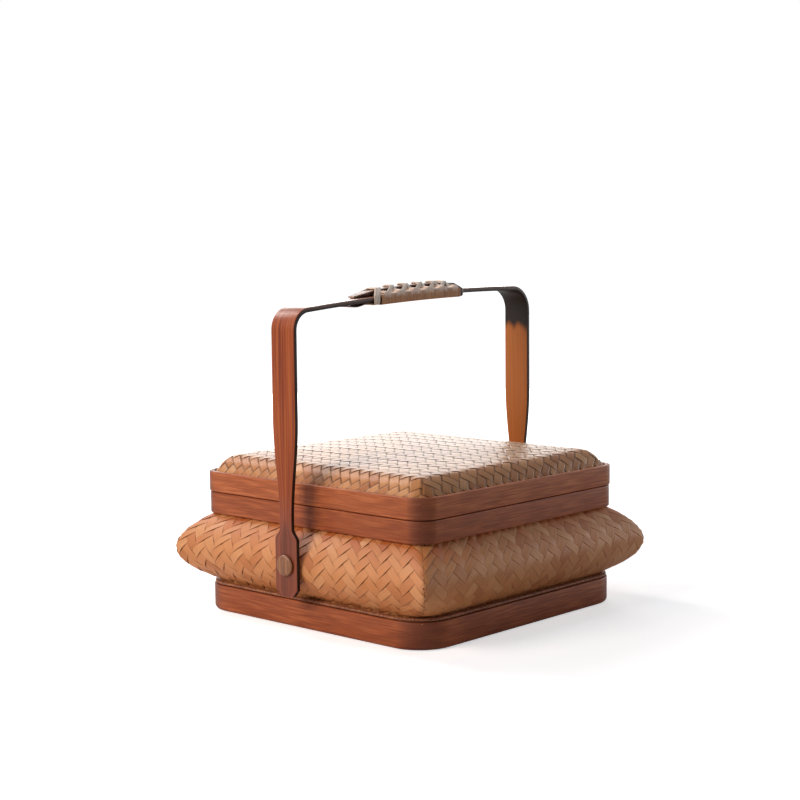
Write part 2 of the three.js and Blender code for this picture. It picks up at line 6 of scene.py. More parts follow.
import itertools
import logging
import math
from dataclasses import dataclass, field
from enum import Enum
from functools import partial
from typing import Any, Callable, Sequence

import bmesh
import bpy
import numpy as np
from mathutils import Matrix, Vector


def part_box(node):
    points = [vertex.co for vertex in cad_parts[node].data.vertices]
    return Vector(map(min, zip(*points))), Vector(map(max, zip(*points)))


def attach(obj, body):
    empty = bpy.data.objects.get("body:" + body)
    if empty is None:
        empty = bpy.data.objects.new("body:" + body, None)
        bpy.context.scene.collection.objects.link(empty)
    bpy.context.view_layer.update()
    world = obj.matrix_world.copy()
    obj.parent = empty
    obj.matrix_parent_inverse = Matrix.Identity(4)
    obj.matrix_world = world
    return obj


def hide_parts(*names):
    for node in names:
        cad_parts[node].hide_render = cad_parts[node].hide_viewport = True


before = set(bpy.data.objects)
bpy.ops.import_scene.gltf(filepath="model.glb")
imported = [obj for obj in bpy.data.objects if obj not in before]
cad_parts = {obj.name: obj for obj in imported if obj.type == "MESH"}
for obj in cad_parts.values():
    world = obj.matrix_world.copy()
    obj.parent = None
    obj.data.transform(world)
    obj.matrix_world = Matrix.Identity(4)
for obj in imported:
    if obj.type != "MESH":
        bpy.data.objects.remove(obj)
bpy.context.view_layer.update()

log = logging.getLogger("carrying_box")
MM = 0.001
Colour = tuple[float, float, float, float]
Pair = tuple[float, float]
Triple = tuple[float, float, float]
Inputs = dict[str | int, Any] | Sequence[Any]
AddNode = Callable[..., bpy.types.Node]
Piece = bpy.types.Object
Tree = bpy.types.NodeTree
Material = bpy.types.Material
Array = np.ndarray


class Body(str, Enum):
    """The bodies that a piece can ride on."""

    BOX = "box"
    LID = "lid"
    HANDLE = "handle"


class Slot(str, Enum):
    """The record's material slots."""

    BAND = "band"
    SKIN = "skin"
    LINING = "lining"
    BOARD = "board"
    HANDLE = "handle"
    PEG = "peg"
    CANE = "cane"


class Facing(Enum):
    """Which side of a wall a plait shows on."""

    OUT = 1
    IN = -1


# Nodes, colours and meshes


def linear(code: str) -> Colour:
    """Turns an sRGB hex colour into a linear one.

    Args:
        code: The colour as six hex digits.

    Returns:
        Linear red, green and blue, with full alpha.
    """
    parts = (int(code[i : i + 2], 16) / 255 for i in (0, 2, 4))
    r, g, b = (p / 12.92 if p <= 0.04045 else ((p + 0.055) / 1.055) ** 2.4 for p in parts)
    return r, g, b, 1.0


def set_inputs(node: bpy.types.Node, inputs: Inputs) -> None:
    """Sets or links a node's inputs.

    Args:
        node: The node.
        inputs: For each input, in order or by name or place, a value, an output socket, or a node, which
            stands for the first output that it has in use.
    """
    for key, value in inputs.items() if isinstance(inputs, dict) else enumerate(inputs):
        if isinstance(value, bpy.types.Node):
            value = next(socket for socket in value.outputs if socket.enabled)
        if isinstance(value, bpy.types.NodeSocket):
            node.id_data.links.new(value, node.inputs[key])
        else:
            node.inputs[key].default_value = value


def add_node(tree: Tree, kind: str, inputs: Inputs = (), stops: Sequence[tuple[float, str]] = (),
             **settings: Any) -> bpy.types.Node:
    """Adds a node with its settings and links.

    Args:
        tree: The tree that it goes into.
        kind: The node's type.
        inputs: Its inputs, as set_inputs takes them.
        stops: Places and hex colours, for a node that holds a colour ramp.
        settings: The node's own properties.

    Returns:
        The new node.
    """
    node = tree.nodes.new(kind)
    for name, value in settings.items():
        setattr(node, name, value)
    for i, (place, code) in enumerate(stops):
        ramp = node.color_ramp.elements
        stop = ramp[i] if i < len(ramp) else ramp.new(place)
        stop.position = place
        stop.color = linear(code)
    set_inputs(node, inputs)
    return node


def add_object(name: str, data: bpy.types.ID) -> Piece:
    """Links a new object at the origin to the scene.

    Args:
        name: The object's name.
        data: Its mesh, lamp or camera.

    Returns:
        The object.
    """
    thing = bpy.data.objects.new(name, data)
    bpy.context.scene.collection.objects.link(thing)
    return thing


def mesh_object(name: str, points: Array, faces: Sequence[Sequence[int]],
                edges: Sequence[Sequence[int]] = ()) -> Piece:
    """Makes an object at the origin from points and faces.

    Args:
        name: The object's name.
        points: An array of n by 3, in metres.
        faces: Indices of each face's points.
        edges: Indices of the points of each loose edge.

    Returns:
        The object, linked to the scene.
    """
    mesh = bpy.data.meshes.new(name)
    mesh.from_pydata(np.asarray(points, float).reshape(-1, 3).tolist(), list(edges), [list(f) for f in faces])
    mesh.update()
    return add_object(name, mesh)


def grid_faces(rows: int, around: int, closed_rows: bool, closed_around: bool) -> list[list[int]]:
    """Lists the quads of a grid of points.

    Args:
        rows: Number of rows.
        around: Points in a row.
        closed_rows: Whether the last row joins the first.
        closed_around: Whether each row joins its own start.

    Returns:
        The quads, with rows across and points along.
    """
    quads = []
    for row in range(rows if closed_rows else rows - 1):
        here, there = row * around, ((row + 1) % rows) * around
        for k in range(around if closed_around else around - 1):
            after = (k + 1) % around
            quads.append([here + k, here + after, there + after, there + k])
    return quads


def run_along(points: Array) -> Array:
    """Distance of each point from the first, along the line that they make."""
    return np.concatenate([[0], np.cumsum(np.linalg.norm(np.diff(points, axis=0), axis=1))])


def loft(name: str, rows: Array, closed_rows: bool = True, uv: Array | None = None,
         smooth_angle: float = 40.0) -> Piece:
    """Makes a closed skin over rows of points that each go once round.

    Args:
        name: The object's name.
        rows: An array of rows by points by 3.
        closed_rows: Whether the last row joins the first. If not, both ends are capped.
        uv: An array of rows + 1 by points + 1 by 2 for the map named grain, in metres.
        smooth_angle: Edges sharper than this, in degrees, stay sharp.

    Returns:
        The object, with its faces outwards.
    """
    count, around = rows.shape[:2]
    faces = grid_faces(count, around, closed_rows, True)
    quads = len(faces)
    if not closed_rows:
        faces += [list(range(around))[::-1], [(count - 1) * around + k for k in range(around)]]
    piece = mesh_object(name, rows, faces)
    if uv is not None:
        layer = piece.data.uv_layers.new(name="grain")
        corner = np.zeros((len(piece.data.loops), 2), np.float32)
        for index in range(quads):
            row, k = divmod(index, around)
            corner[4 * index : 4 * index + 4] = uv[[row, row, row + 1, row + 1], [k, k + 1, k + 1, k]]
        layer.data.foreach_set("uv", corner.ravel())
    edit = bmesh.new()
    edit.from_mesh(piece.data)
    if edit.calc_volume(signed=True) < 0:
        bmesh.ops.reverse_faces(edit, faces=edit.faces)
    edit.to_mesh(piece.data)
    edit.free()
    piece.data.shade_smooth()
    piece.data.set_sharp_from_angle(angle=math.radians(smooth_angle))
    return piece


def turn_round(name: str, outline: Sequence[Pair], height: float, steps: int) -> Piece:
    """Turns a closed solid round an axis along Y.

    Args:
        name: The object's name.
        outline: Radius and place along Y of each ring.
        height: Height of the axis.
        steps: Number of points in a ring.

    Returns:
        The object.
    """
    angles = np.arange(steps) * 2 * math.pi / steps
    rows = [
        np.column_stack([radius * np.cos(angles), np.full(steps, y), height + radius * np.sin(angles)])
        for radius, y in outline
    ]
    return loft(name, np.array(rows), closed_rows=False, smooth_angle=50)


def set_attribute(piece: Piece, name: str, values: Array) -> None:
    """Stores one number for each of a mesh's points."""
    attribute = piece.data.attributes.new(name, "FLOAT", "POINT")
    attribute.data.foreach_set("value", np.asarray(values, np.float32).ravel())


def cut(piece: Piece, tool: Piece) -> None:
    """Takes one solid out of another.

    Args:
        piece: The solid that is cut.
        tool: The solid that comes out of it. It is removed.
    """
    modifier = piece.modifiers.new("cut", "BOOLEAN")
    modifier.object = tool
    modifier.solver = "EXACT"
    bake(piece)
    bpy.data.objects.remove(tool)


def trim(piece: Piece, low: float, high: float, axes: Sequence[int] = (2,)) -> None:
    """Cuts off what lies below one place or past another, and closes the cut ends.

    Args:
        piece: The object that is cut.
        low: The lowest place that is kept.
        high: The highest place that is kept.
        axes: The axes that it is cut along, as 0 for X to 2 for Z.
    """
    edit = bmesh.new()
    edit.from_mesh(piece.data)
    for axis, (place, way) in itertools.product(axes, ((low, -1.0), (high, 1.0))):
        normal = np.eye(3)[axis] * way
        cut_line = bmesh.ops.bisect_plane(
            edit, geom=[*edit.verts, *edit.edges, *edit.faces], plane_co=normal * way * place,
            plane_no=normal, clear_outer=True,
        )
        edges = [part for part in cut_line["geom_cut"] if isinstance(part, bmesh.types.BMEdge)]
        bmesh.ops.holes_fill(edit, edges=edges)
    edit.to_mesh(piece.data)
    edit.free()


def bake(piece: Piece) -> None:
    """Makes what a piece's modifiers show its plain mesh, and removes them.

    Args:
        piece: The object with its modifiers.
    """
    shown = piece.evaluated_get(bpy.context.evaluated_depsgraph_get())
    old = piece.data
    piece.data = bpy.data.meshes.new_from_object(shown)
    piece.modifiers.clear()
    bpy.data.meshes.remove(old)


def join(name: str, pieces: Sequence[Piece]) -> Piece:
    """Joins several objects into one.

    Args:
        name: The new name.
        pieces: The objects. The first takes in the others.

    Returns:
        The first object.
    """
    if len(pieces) > 1:
        with bpy.context.temp_override(active_object=pieces[0], selected_editable_objects=list(pieces)):
            bpy.ops.object.join()
    pieces[0].name = name
    pieces[0].data.name = name
    return pieces[0]


def block(name: str, low: Vector, high: Vector) -> Piece:
    """Makes a plain block, as a cutting tool.

    Args:
        name: The object's name.
        low: Its lowest corner.
        high: Its highest corner.

    Returns:
        The object.
    """
    points = [(x, y, z) for z in (low.z, high.z) for x, y in
              ((low.x, low.y), (high.x, low.y), (high.x, high.y), (low.x, high.y))]
    faces = [[3, 2, 1, 0], [4, 5, 6, 7], [0, 1, 5, 4], [1, 2, 6, 5], [2, 3, 7, 6], [3, 0, 4, 7]]
    return mesh_object(name, np.array(points), faces)


def finish_piece(piece: Piece, body: Body, slot: Slot, material: Material | None = None,
                 replaces: Sequence[str] = ()) -> None:
    """Gives a piece its material and body, and hides the solids that it stands for.

    Args:
        piece: The finished object.
        body: The body that it rides on.
        slot: The record's slot of its finish. It is not used.
        material: Its material, if the mesh doesn't have one yet.
        replaces: Names of the solids that it stands for.
    """
    if material:
        piece.data.materials.clear()
        piece.data.materials.append(material)
    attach(piece, body.value)
    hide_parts(*replaces)
    log.info("%s rides on %s with %d faces", piece.name, body.value, len(piece.data.polygons))


def dress_node(node: str, material: Material) -> None:
    """Gives a solid that stays in view its material.

    Args:
        node: The solid's name.
        material: The material.
    """
    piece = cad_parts[node]
    piece.data.materials.clear()
    piece.data.materials.append(material)


# Square pieces with rounded corners


@dataclass(frozen=True)
class Profile:
    """A wall's profile: half side, corner radius and height of each level ring."""

    half: Array
    corner: Array
    z: Array

    def along(self) -> Array:
        """Distance of each ring along the profile."""
        steps = np.hypot(np.diff(self.half), np.diff(self.z))
        return np.concatenate([[0.0], np.cumsum(steps)])

    def at(self, distance: Array) -> "Profile":
        """The rings at other distances along the profile."""
        known = self.along()
        return Profile(*(np.interp(distance, known, values) for values in (self.half, self.corner, self.z)))

    def inset(self, depth: float) -> "Profile":
        """The profile moved inwards, square to the wall.

        Args:
            depth: How far it moves.

        Returns:
            The new profile. Its corners keep their middle, and stay a little round.
        """
        slope_half, slope_z = np.gradient(self.half), np.gradient(self.z)
        length = np.hypot(slope_half, slope_z)
        half = self.half - depth * slope_z / length
        corner = np.maximum(self.corner + half - self.half, 0.4 * MM)
        return Profile(half, corner, self.z + depth * slope_half / length)


def ring_xy(half: Array, corner: Array, station: Array) -> Array:
    """Places on square rings with rounded corners.

    Args:
        half: Half sides.
        corner: Corner radii.
        station: Places round the ring from 0 to 12, anticlockwise from the middle of the near right
            corner. Each side takes three: half a corner, the straight and half a corner.

    Returns:
        X and Y of each place.
    """
    half, corner, station = np.broadcast_arrays(half, corner, station)
    quarter = np.floor(station / 3).astype(int) % 4
    local = station - 3 * np.floor(station / 3)
    straight = half - corner
    angle = np.where(local < 1, (local - 1), np.where(local > 2, local - 2, 0.0)) * math.pi / 4
    along = np.where(local < 1, -1.0, np.where(local > 2, 1.0, 2 * local - 3)) * straight
    x = straight + corner * np.cos(angle)
    y = along + corner * np.sin(angle)
    turn = quarter * math.pi / 2
    cos, sin = np.cos(turn), np.sin(turn)
    return np.stack([x * cos - y * sin, x * sin + y * cos], axis=-1)


def station_at(half: Array, corner: Array, share: Array) -> Array:
    """Turns shares of a ring's length into stations for ring_xy.

    Args:
        half: Half sides.
        corner: Corner radii.
        share: Shares of the length, from the middle of the near right corner.

    Returns:
        The stations.
    """
    half, corner, share = np.broadcast_arrays(half, corner, share)
    arc = corner * math.pi / 4
    side = 2 * (half - corner) + 2 * arc
    quarter = np.floor(share * 4)
    run = (share * 4 - quarter) * side
    local = np.where(
        run < arc,
        run / np.maximum(arc, 1e-9),
        np.where(run > side - arc, 3 - (side - run) / np.maximum(arc, 1e-9), 0.0),
    )
    middle = (run - arc) / np.maximum(side - 2 * arc, 1e-9) + 1
    return 3 * quarter + np.where((run >= arc) & (run <= side - arc), middle, local)


def ring_stations(corner_steps: int, side_steps: int) -> Array:
    """Lists stations once round a ring.

    Args:
        corner_steps: Number of steps in half a corner.
        side_steps: Number of steps in a straight.

    Returns:
        The stations.
    """
    half_corner = np.linspace(0, 1, corner_steps, endpoint=False)
    straight = np.linspace(1, 2, side_steps, endpoint=False)
    quarter = np.concatenate([half_corner, straight, half_corner + 2])
    return np.concatenate([quarter + 3 * k for k in range(4)])


def level_ring(half: float, corner: float, z: float, stations: Array) -> Array:
    """Points of a level ring at one height."""
    xy = ring_xy(half, corner, stations)
    return np.column_stack([xy, np.full(len(xy), z)])


def rounded_section(wall: float, bottom: float, top: float, radius: float = 0.8 * MM) -> list[Pair]:
    """Draws a band's section with rounded edges.

    Args:
        wall: The band's thickness.
        bottom: Height of its lower edge.
        top: Height of its upper edge.
        radius: Radius of its edges.

    Returns:
        Points of depth in from its outer face and height.
    """
    steps = 4
    corners = [(radius, bottom + radius, 180), (radius, top - radius, 90)]
    corners += [(wall - radius, top - radius, 0), (wall - radius, bottom + radius, -90)]
    section = []
    for inset, z, first in corners:
        for step in range(steps + 1):
            angle = math.radians(first + 90 - 90 * step / steps)
            section.append((inset + radius * math.cos(angle), z + radius * math.sin(angle)))
    return section


def hoop(name: str, half: float, corner: float, section: Sequence[Pair]) -> Piece:
    """Makes a hoop with a given section, mapped along and across in metres.

    Args:
        name: The object's name.
        half: Half side of its outer face.
        corner: Corner radius of its outer face.
        section: Points of depth in from the outer face and height.

    Returns:
        The object, with a point attribute named bend that is 1 in its corners.
    """
    stations = ring_stations(8, 10)
    rows = [level_ring(half - inset, max(corner - inset, 0.3 * MM), z, stations) for inset, z in section]
    run = run_along(ring_xy(half, corner, np.append(stations, 12.0)))
    uv = np.stack(np.meshgrid(run, run_along(np.array([*section, section[0]]))), axis=-1)
    piece = loft(name, np.array(rows), uv=uv)
    local = stations % 3
    bend = np.where(local < 1, 1 - local, np.where(local > 2, local - 2, 0.0))
    set_attribute(piece, "bend", np.tile(1 - (1 - bend) ** 2, len(section)))
    return piece


# Finishes


@dataclass(frozen=True)
class Finish:
    """What all the finishes share: a ramp of three tones, colours laid over it, and fibres in relief."""

    name: str
    dark: str
    middle: str
    pale: str

    def start(self) -> tuple[Material, AddNode]:
        """Starts the material.

        Returns:
            The material, and the function that adds a node to it.
        """
        material = bpy.data.materials.new(self.name)
        material.use_nodes = True
        return material, partial(add_node, material.node_tree)

    def complete(self, material: Material, base: bpy.types.Node,
                 layers: Sequence[tuple[bpy.types.Node | bpy.types.NodeSocket, str, str]],
                 fibre: bpy.types.Node, relief: Pair,
                 shader_inputs: dict[str, Any]) -> Material:
        """Lays colours over the base and joins everything to the shader.

        Args:
            material: The material.
            base: The colour at the bottom.
            layers: For each colour over it, how much it covers, its hex colour and how it blends.
            fibre: Height of the fibres.
            relief: How strongly the fibres tilt the light, and how far they stand out.
            shader_inputs: The shader's other inputs.

        Returns:
            The material.
        """
        tree = material.node_tree
        colour = base
        for share, code, blend in layers:
            inputs = {0: share, 6: colour, 7: linear(code)}
            colour = add_node(tree, "ShaderNodeMix", inputs, data_type="RGBA", blend_type=blend)
        strength, distance = relief
        bump = add_node(tree, "ShaderNodeBump", {"Strength": strength, "Distance": distance, "Height": fibre})
        shader = tree.nodes["Principled BSDF"]
        set_inputs(shader, {"Base Color": colour, "Normal": bump, **shader_inputs})
        return material


@dataclass(frozen=True)
class Twill:
    """The spacing of a plait: distance between its columns of floats, and between the rows in one."""

    column: float
    row: float

    @property
    def lean(self) -> float:
        """Angle of the splints to the rows."""
        return math.atan2(self.row, self.column)

    @property
    def width(self) -> float:
        """Width of a splint that leaves no gap."""
        return self.row * math.cos(self.lean)

    @property
    def reach(self) -> float:
        """Half length of a float where it shows."""
        return 0.5 * self.column / math.cos(self.lean)


@dataclass(frozen=True)
class SplintFinish(Finish):
    """Split bamboo splints, stained and then lacquered by rubbing: they give each float its own tone."""

    seam: str
    twill: Twill
    roughness: float
    coat: float
    gloss: float = 0.5
    ior: float = 1.5
    stain_and_shade: str = "ffffff"
    stain_shade_low: float = 1.0
    stain_shade_high: float = 2.0
    wear_sheen_colour: str = "ffffff"
    wear_sheen_above: float = 1.0
    wear_sheen_depth: float = 5 * MM
    wear_sheen_share: float = 0.75
    seam_width: float = 0.05
    seam_rising: float = 0.7
    seam_falling: float = 0.7
    seam_end: float = 0.4
    tuck_start: float = 0.92
    seam_least: float = 0.25
    crease: float = 0.0

    def build(self) -> Material:
        """Makes the material.

        Returns:
            The material. It reads the attributes grain, tone and slope, which a plait stores.
        """
        material, add = self.start()
        grain = add("ShaderNodeAttribute", attribute_name="grain")
        tone = add("ShaderNodeAttribute", attribute_name="tone")
        # Each splint is cut from another place in the culm, so its fibres start elsewhere.
        shift = add("ShaderNodeVectorMath", [grain.outputs["Vector"], tone.outputs["Vector"]])
        # Fibres: real ones lie 0.3 mm apart, too fine to show, so they are drawn 0.9 mm apart.
        stretch = add("ShaderNodeVectorMath", [shift, (45.0, 1100.0, 0.0)], operation="MULTIPLY")
        fibre = add("ShaderNodeTexNoise", {"Vector": stretch, "Scale": 1.0, "Detail": 3.0})
        tones = [(0.0, self.dark), (0.45, self.middle), (1.0, self.pale)]
        base = add("ShaderNodeValToRGB", [tone.outputs["Fac"]], tones)
        streaks = add("ShaderNodeMapRange", [fibre, 0.35, 0.7, 0.0, 0.35])
        # Stain and painted shade gather where the plait runs in under a band, more in some floats than in
        # others.
        place = add("ShaderNodeTexCoord").outputs["Object"]
        height = add("ShaderNodeSeparateXYZ", [place]).outputs
        under_rim = add("ShaderNodeMapRange", [height["Z"], self.stain_shade_low, self.stain_shade_high],
                     interpolation_type="SMOOTHSTEP")
        thirst = add("ShaderNodeMapRange", [tone.outputs["Fac"], 0.75, 0.3, 0.1, 1.0])
        soaked_and_shaded = add("ShaderNodeMath", [under_rim, thirst], operation="MULTIPLY")
        # The highest floats are pale, partly from wear by hands and dusting and partly as a painted sheen.
        sheen_and_wear = add(
            "ShaderNodeMapRange",
            {0: height["Z"], 1: self.wear_sheen_above, 2: self.wear_sheen_above + self.wear_sheen_depth, 4: self.wear_sheen_share},
            interpolation_type="SMOOTHSTEP",
        )
        # Painted shadow, with some dirt, along the sides of each float and where its ends tuck under.
        width, reach = self.twill.width, self.twill.reach
        parts = add("ShaderNodeSeparateXYZ", [grain.outputs["Vector"]]).outputs
        side = add("ShaderNodeMath", [parts["Y"]], operation="ABSOLUTE")
        edge = add("ShaderNodeMapRange", [side, (0.5 - self.seam_width) * width, 0.49 * width])
        end = add("ShaderNodeMath", [parts["X"]], operation="ABSOLUTE")
        tuck = add("ShaderNodeMapRange",
                   {0: end, 1: self.tuck_start * reach, 2: 1.02 * reach, 4: self.seam_end})
        # Painted shadow is stronger along the splints that run one way, whose edges face away from the light.
        slope = add("ShaderNodeAttribute", attribute_name="slope").outputs["Fac"]
        shadow_side_share = add("ShaderNodeMapRange", [slope, -1.0, 1.0, self.seam_falling, self.seam_rising])
        sides = add("ShaderNodeMath", [edge, shadow_side_share], operation="MULTIPLY")
        worst = add("ShaderNodeMath", [sides, tuck], operation="MAXIMUM")
        # Where a float lies tight on its neighbour, the seam between them all but closes.
        gather = add("ShaderNodeTexNoise", {"Vector": place, "Scale": 90.0, "Detail": 1.0})
        open_share = add("ShaderNodeMapRange", [gather, 0.35, 0.65, self.seam_least, 1.0])
        opened = add("ShaderNodeMath", [worst, open_share], operation="MULTIPLY")
        # At the box's corners the splints are creased sharp, and painted shade darkens them along the crease.
        across, along = (add("ShaderNodeMath", [height[axis]], operation="ABSOLUTE") for axis in "XY")
        apart = add("ShaderNodeMath", [across, along, 0.4 * MM], operation="COMPARE")
        bent = add("ShaderNodeMath", [apart, self.crease], operation="MULTIPLY")
        seams = add("ShaderNodeMath", [opened, bent], operation="MAXIMUM")
        # A seam is a gap, so nothing glints in it.
        rough = add("ShaderNodeMapRange", {0: fibre, 3: self.roughness - 0.06, 4: self.roughness + 0.1})
        dull = add("ShaderNodeMath", [rough, seams], operation="MAXIMUM")
        layers = [(streaks, self.dark, "MIX"), (soaked_and_shaded, self.stain_and_shade, "MULTIPLY"), (sheen_and_wear, self.wear_sheen_colour, "MIX"),
                  (seams, self.seam, "MIX")]
        return self.complete(material, base, layers, fibre, (0.35, 0.12 * MM), {
            "Roughness": dull, "IOR": self.ior, "Specular IOR Level": self.gloss, "Coat Weight": self.coat,
            "Coat Roughness": 0.35,
        })


@dataclass(frozen=True)
class BandFinish(Finish):
    """A planed, bent bamboo board under dark red lacquer: fine level grain and darker bends."""

    scorch: str = "552a1c"
    roughness: float = 0.45
    coat: float = 0.03
    gloss: float = 0.3

    def build(self) -> Material:
        """Makes the material.

        Returns:
            The material. It reads the map grain and the attribute bend of a hoop.
        """
        material, add = self.start()
        grain = add("ShaderNodeUVMap", uv_map="grain")
        # Vessels in the bamboo: long, and 1.4 mm apart. Real ones are 0.5 mm apart, too fine to show.
        stretch = add("ShaderNodeVectorMath", [grain, (34.0, 720.0, 0.0)], operation="MULTIPLY")
        fibre = add("ShaderNodeTexNoise", {"Vector": stretch, "Scale": 1.0, "Detail": 4.0})
        tones = [(0.36, self.dark), (0.51, self.middle), (0.66, self.pale)]
        base = add("ShaderNodeValToRGB", [fibre], tones)
        # Darker clouds in the lacquer, where it took unevenly: 36 mm long and 5 mm high.
        patch = add("ShaderNodeVectorMath", [grain, (28.0, 190.0, 0.0)], operation="MULTIPLY")
        cloud = add("ShaderNodeTexNoise", {"Vector": patch, "Scale": 1.0, "Detail": 3.0})
        uneven = add("ShaderNodeMapRange", [cloud, 0.38, 0.68, 0.0, 0.8])
        # The corners are heated to bend them, which darkens them, and painted shade darkens them further.
        bend = add("ShaderNodeAttribute", attribute_name="bend").outputs["Fac"]
        scorched_and_shaded = add("ShaderNodeMapRange", [bend, 0.2, 1.0, 0.0, 0.7])
        rough = add("ShaderNodeMapRange", {0: cloud, 3: self.roughness - 0.08, 4: self.roughness + 0.12})
        layers = [(uneven, self.dark, "MIX"), (scorched_and_shaded, self.scorch, "MIX")]
        return self.complete(material, base, layers, fibre, (0.3, 0.15 * MM), {
            "Roughness": rough, "IOR": 1.5, "Specular IOR Level": self.gloss, "Coat Weight": self.coat,
            "Coat Roughness": 0.2,
        })


@dataclass(frozen=True)
class StickFinish(Finish):
    """Bamboo or cane that shows fibres along one direction of its own mesh or of the box."""

    scale: Triple
    mapped: bool = True
    scorch: str = "1c100b"
    flesh: str = "b4672a"
    smoke: str = "80483a"
    sheen_and_wear: str = "d8b4a0"
    roughness: float = 0.42
    coat: float = 0.15
    gloss: float = 0.5

    def build(self) -> Material:
        """Makes the material.

        Returns:
            The material. If mapped it reads the map grain, and else places in the object's frame. Where
            the mesh has them, attributes lay colours over it: charring and painted shade that darken it,
            painted shade that dulls the legs, the inner side of the culm or a painted highlight, and
            polishing with a painted sheen that leaves it smooth and pale.
        """
        material, add = self.start()
        if self.mapped:
            place = add("ShaderNodeUVMap", uv_map="grain").outputs[0]
        else:
            place = add("ShaderNodeTexCoord").outputs["Object"]
        stretch = add("ShaderNodeVectorMath", [place, self.scale], operation="MULTIPLY")
        fibre = add("ShaderNodeTexNoise", {"Vector": stretch, "Scale": 1.0, "Detail": 4.0})
        broad = add("ShaderNodeTexNoise", {"Vector": stretch, "Scale": 0.22, "Detail": 2.0})
        tones = [(0.30, self.dark), (0.52, self.middle), (0.72, self.pale)]
        base = add("ShaderNodeValToRGB", [fibre], tones)
        shaded = add("ShaderNodeMapRange", [broad, 0.45, 0.75, 0.0, 0.5])
        flesh, smoke, scorch, polish = (
            add("ShaderNodeAttribute", attribute_name=name).outputs["Fac"]
            for name in ("flesh", "smoke", "scorch", "polish")
        )
        # The charring and painted shade end in a ragged edge, which follows the fibres.
        ragged = add("ShaderNodeMapRange", [broad, 0.3, 0.7, -0.18, 0.18])
        reach = add("ShaderNodeMath", [scorch, ragged])
        burnt_and_shaded = add("ShaderNodeMapRange", [reach, 0.35, 0.75, 0.0, 0.98], interpolation_type="SMOOTHSTEP")
        sheen_and_wear = add("ShaderNodeMath", [polish, 0.3], operation="MULTIPLY")
        rough = add("ShaderNodeMapRange", {0: broad, 3: self.roughness - 0.08, 4: self.roughness + 0.12})
        smooth = add("ShaderNodeMath", [polish, -0.22, rough], operation="MULTIPLY_ADD")
        layers = [(shaded, self.dark, "MIX"), (flesh, self.flesh, "MIX"), (smoke, self.smoke, "MIX"),
                  (burnt_and_shaded, self.scorch, "MIX"), (sheen_and_wear, self.sheen_and_wear, "MIX")]
        return self.complete(material, base, layers, fibre, (0.3, 0.12 * MM), {
            "Roughness": smooth, "IOR": 1.5, "Specular IOR Level": self.gloss, "Coat Weight": self.coat,
            "Coat Roughness": 0.25,
        })


# Plaits


def start_tree(name: str, inputs: dict[str, Sequence[str]]) -> tuple[AddNode, bpy.types.NodeOutputs]:
    """Starts a Geometry Nodes tree that gives a geometry.

    Args:
        name: The tree's name.
        inputs: Names of its inputs for each type of socket.

    Returns:
        The function that adds a node to it, and its inputs.
    """
    tree = bpy.data.node_groups.new(name, "GeometryNodeTree")
    tree.interface.new_socket("Geometry", in_out="OUTPUT", socket_type="NodeSocketGeometry")
    for kind, names in inputs.items():
        for socket in names:
            tree.interface.new_socket(socket, in_out="INPUT", socket_type=f"NodeSocket{kind}")
    add = partial(add_node, tree)
    return add, add("NodeGroupInput").outputs


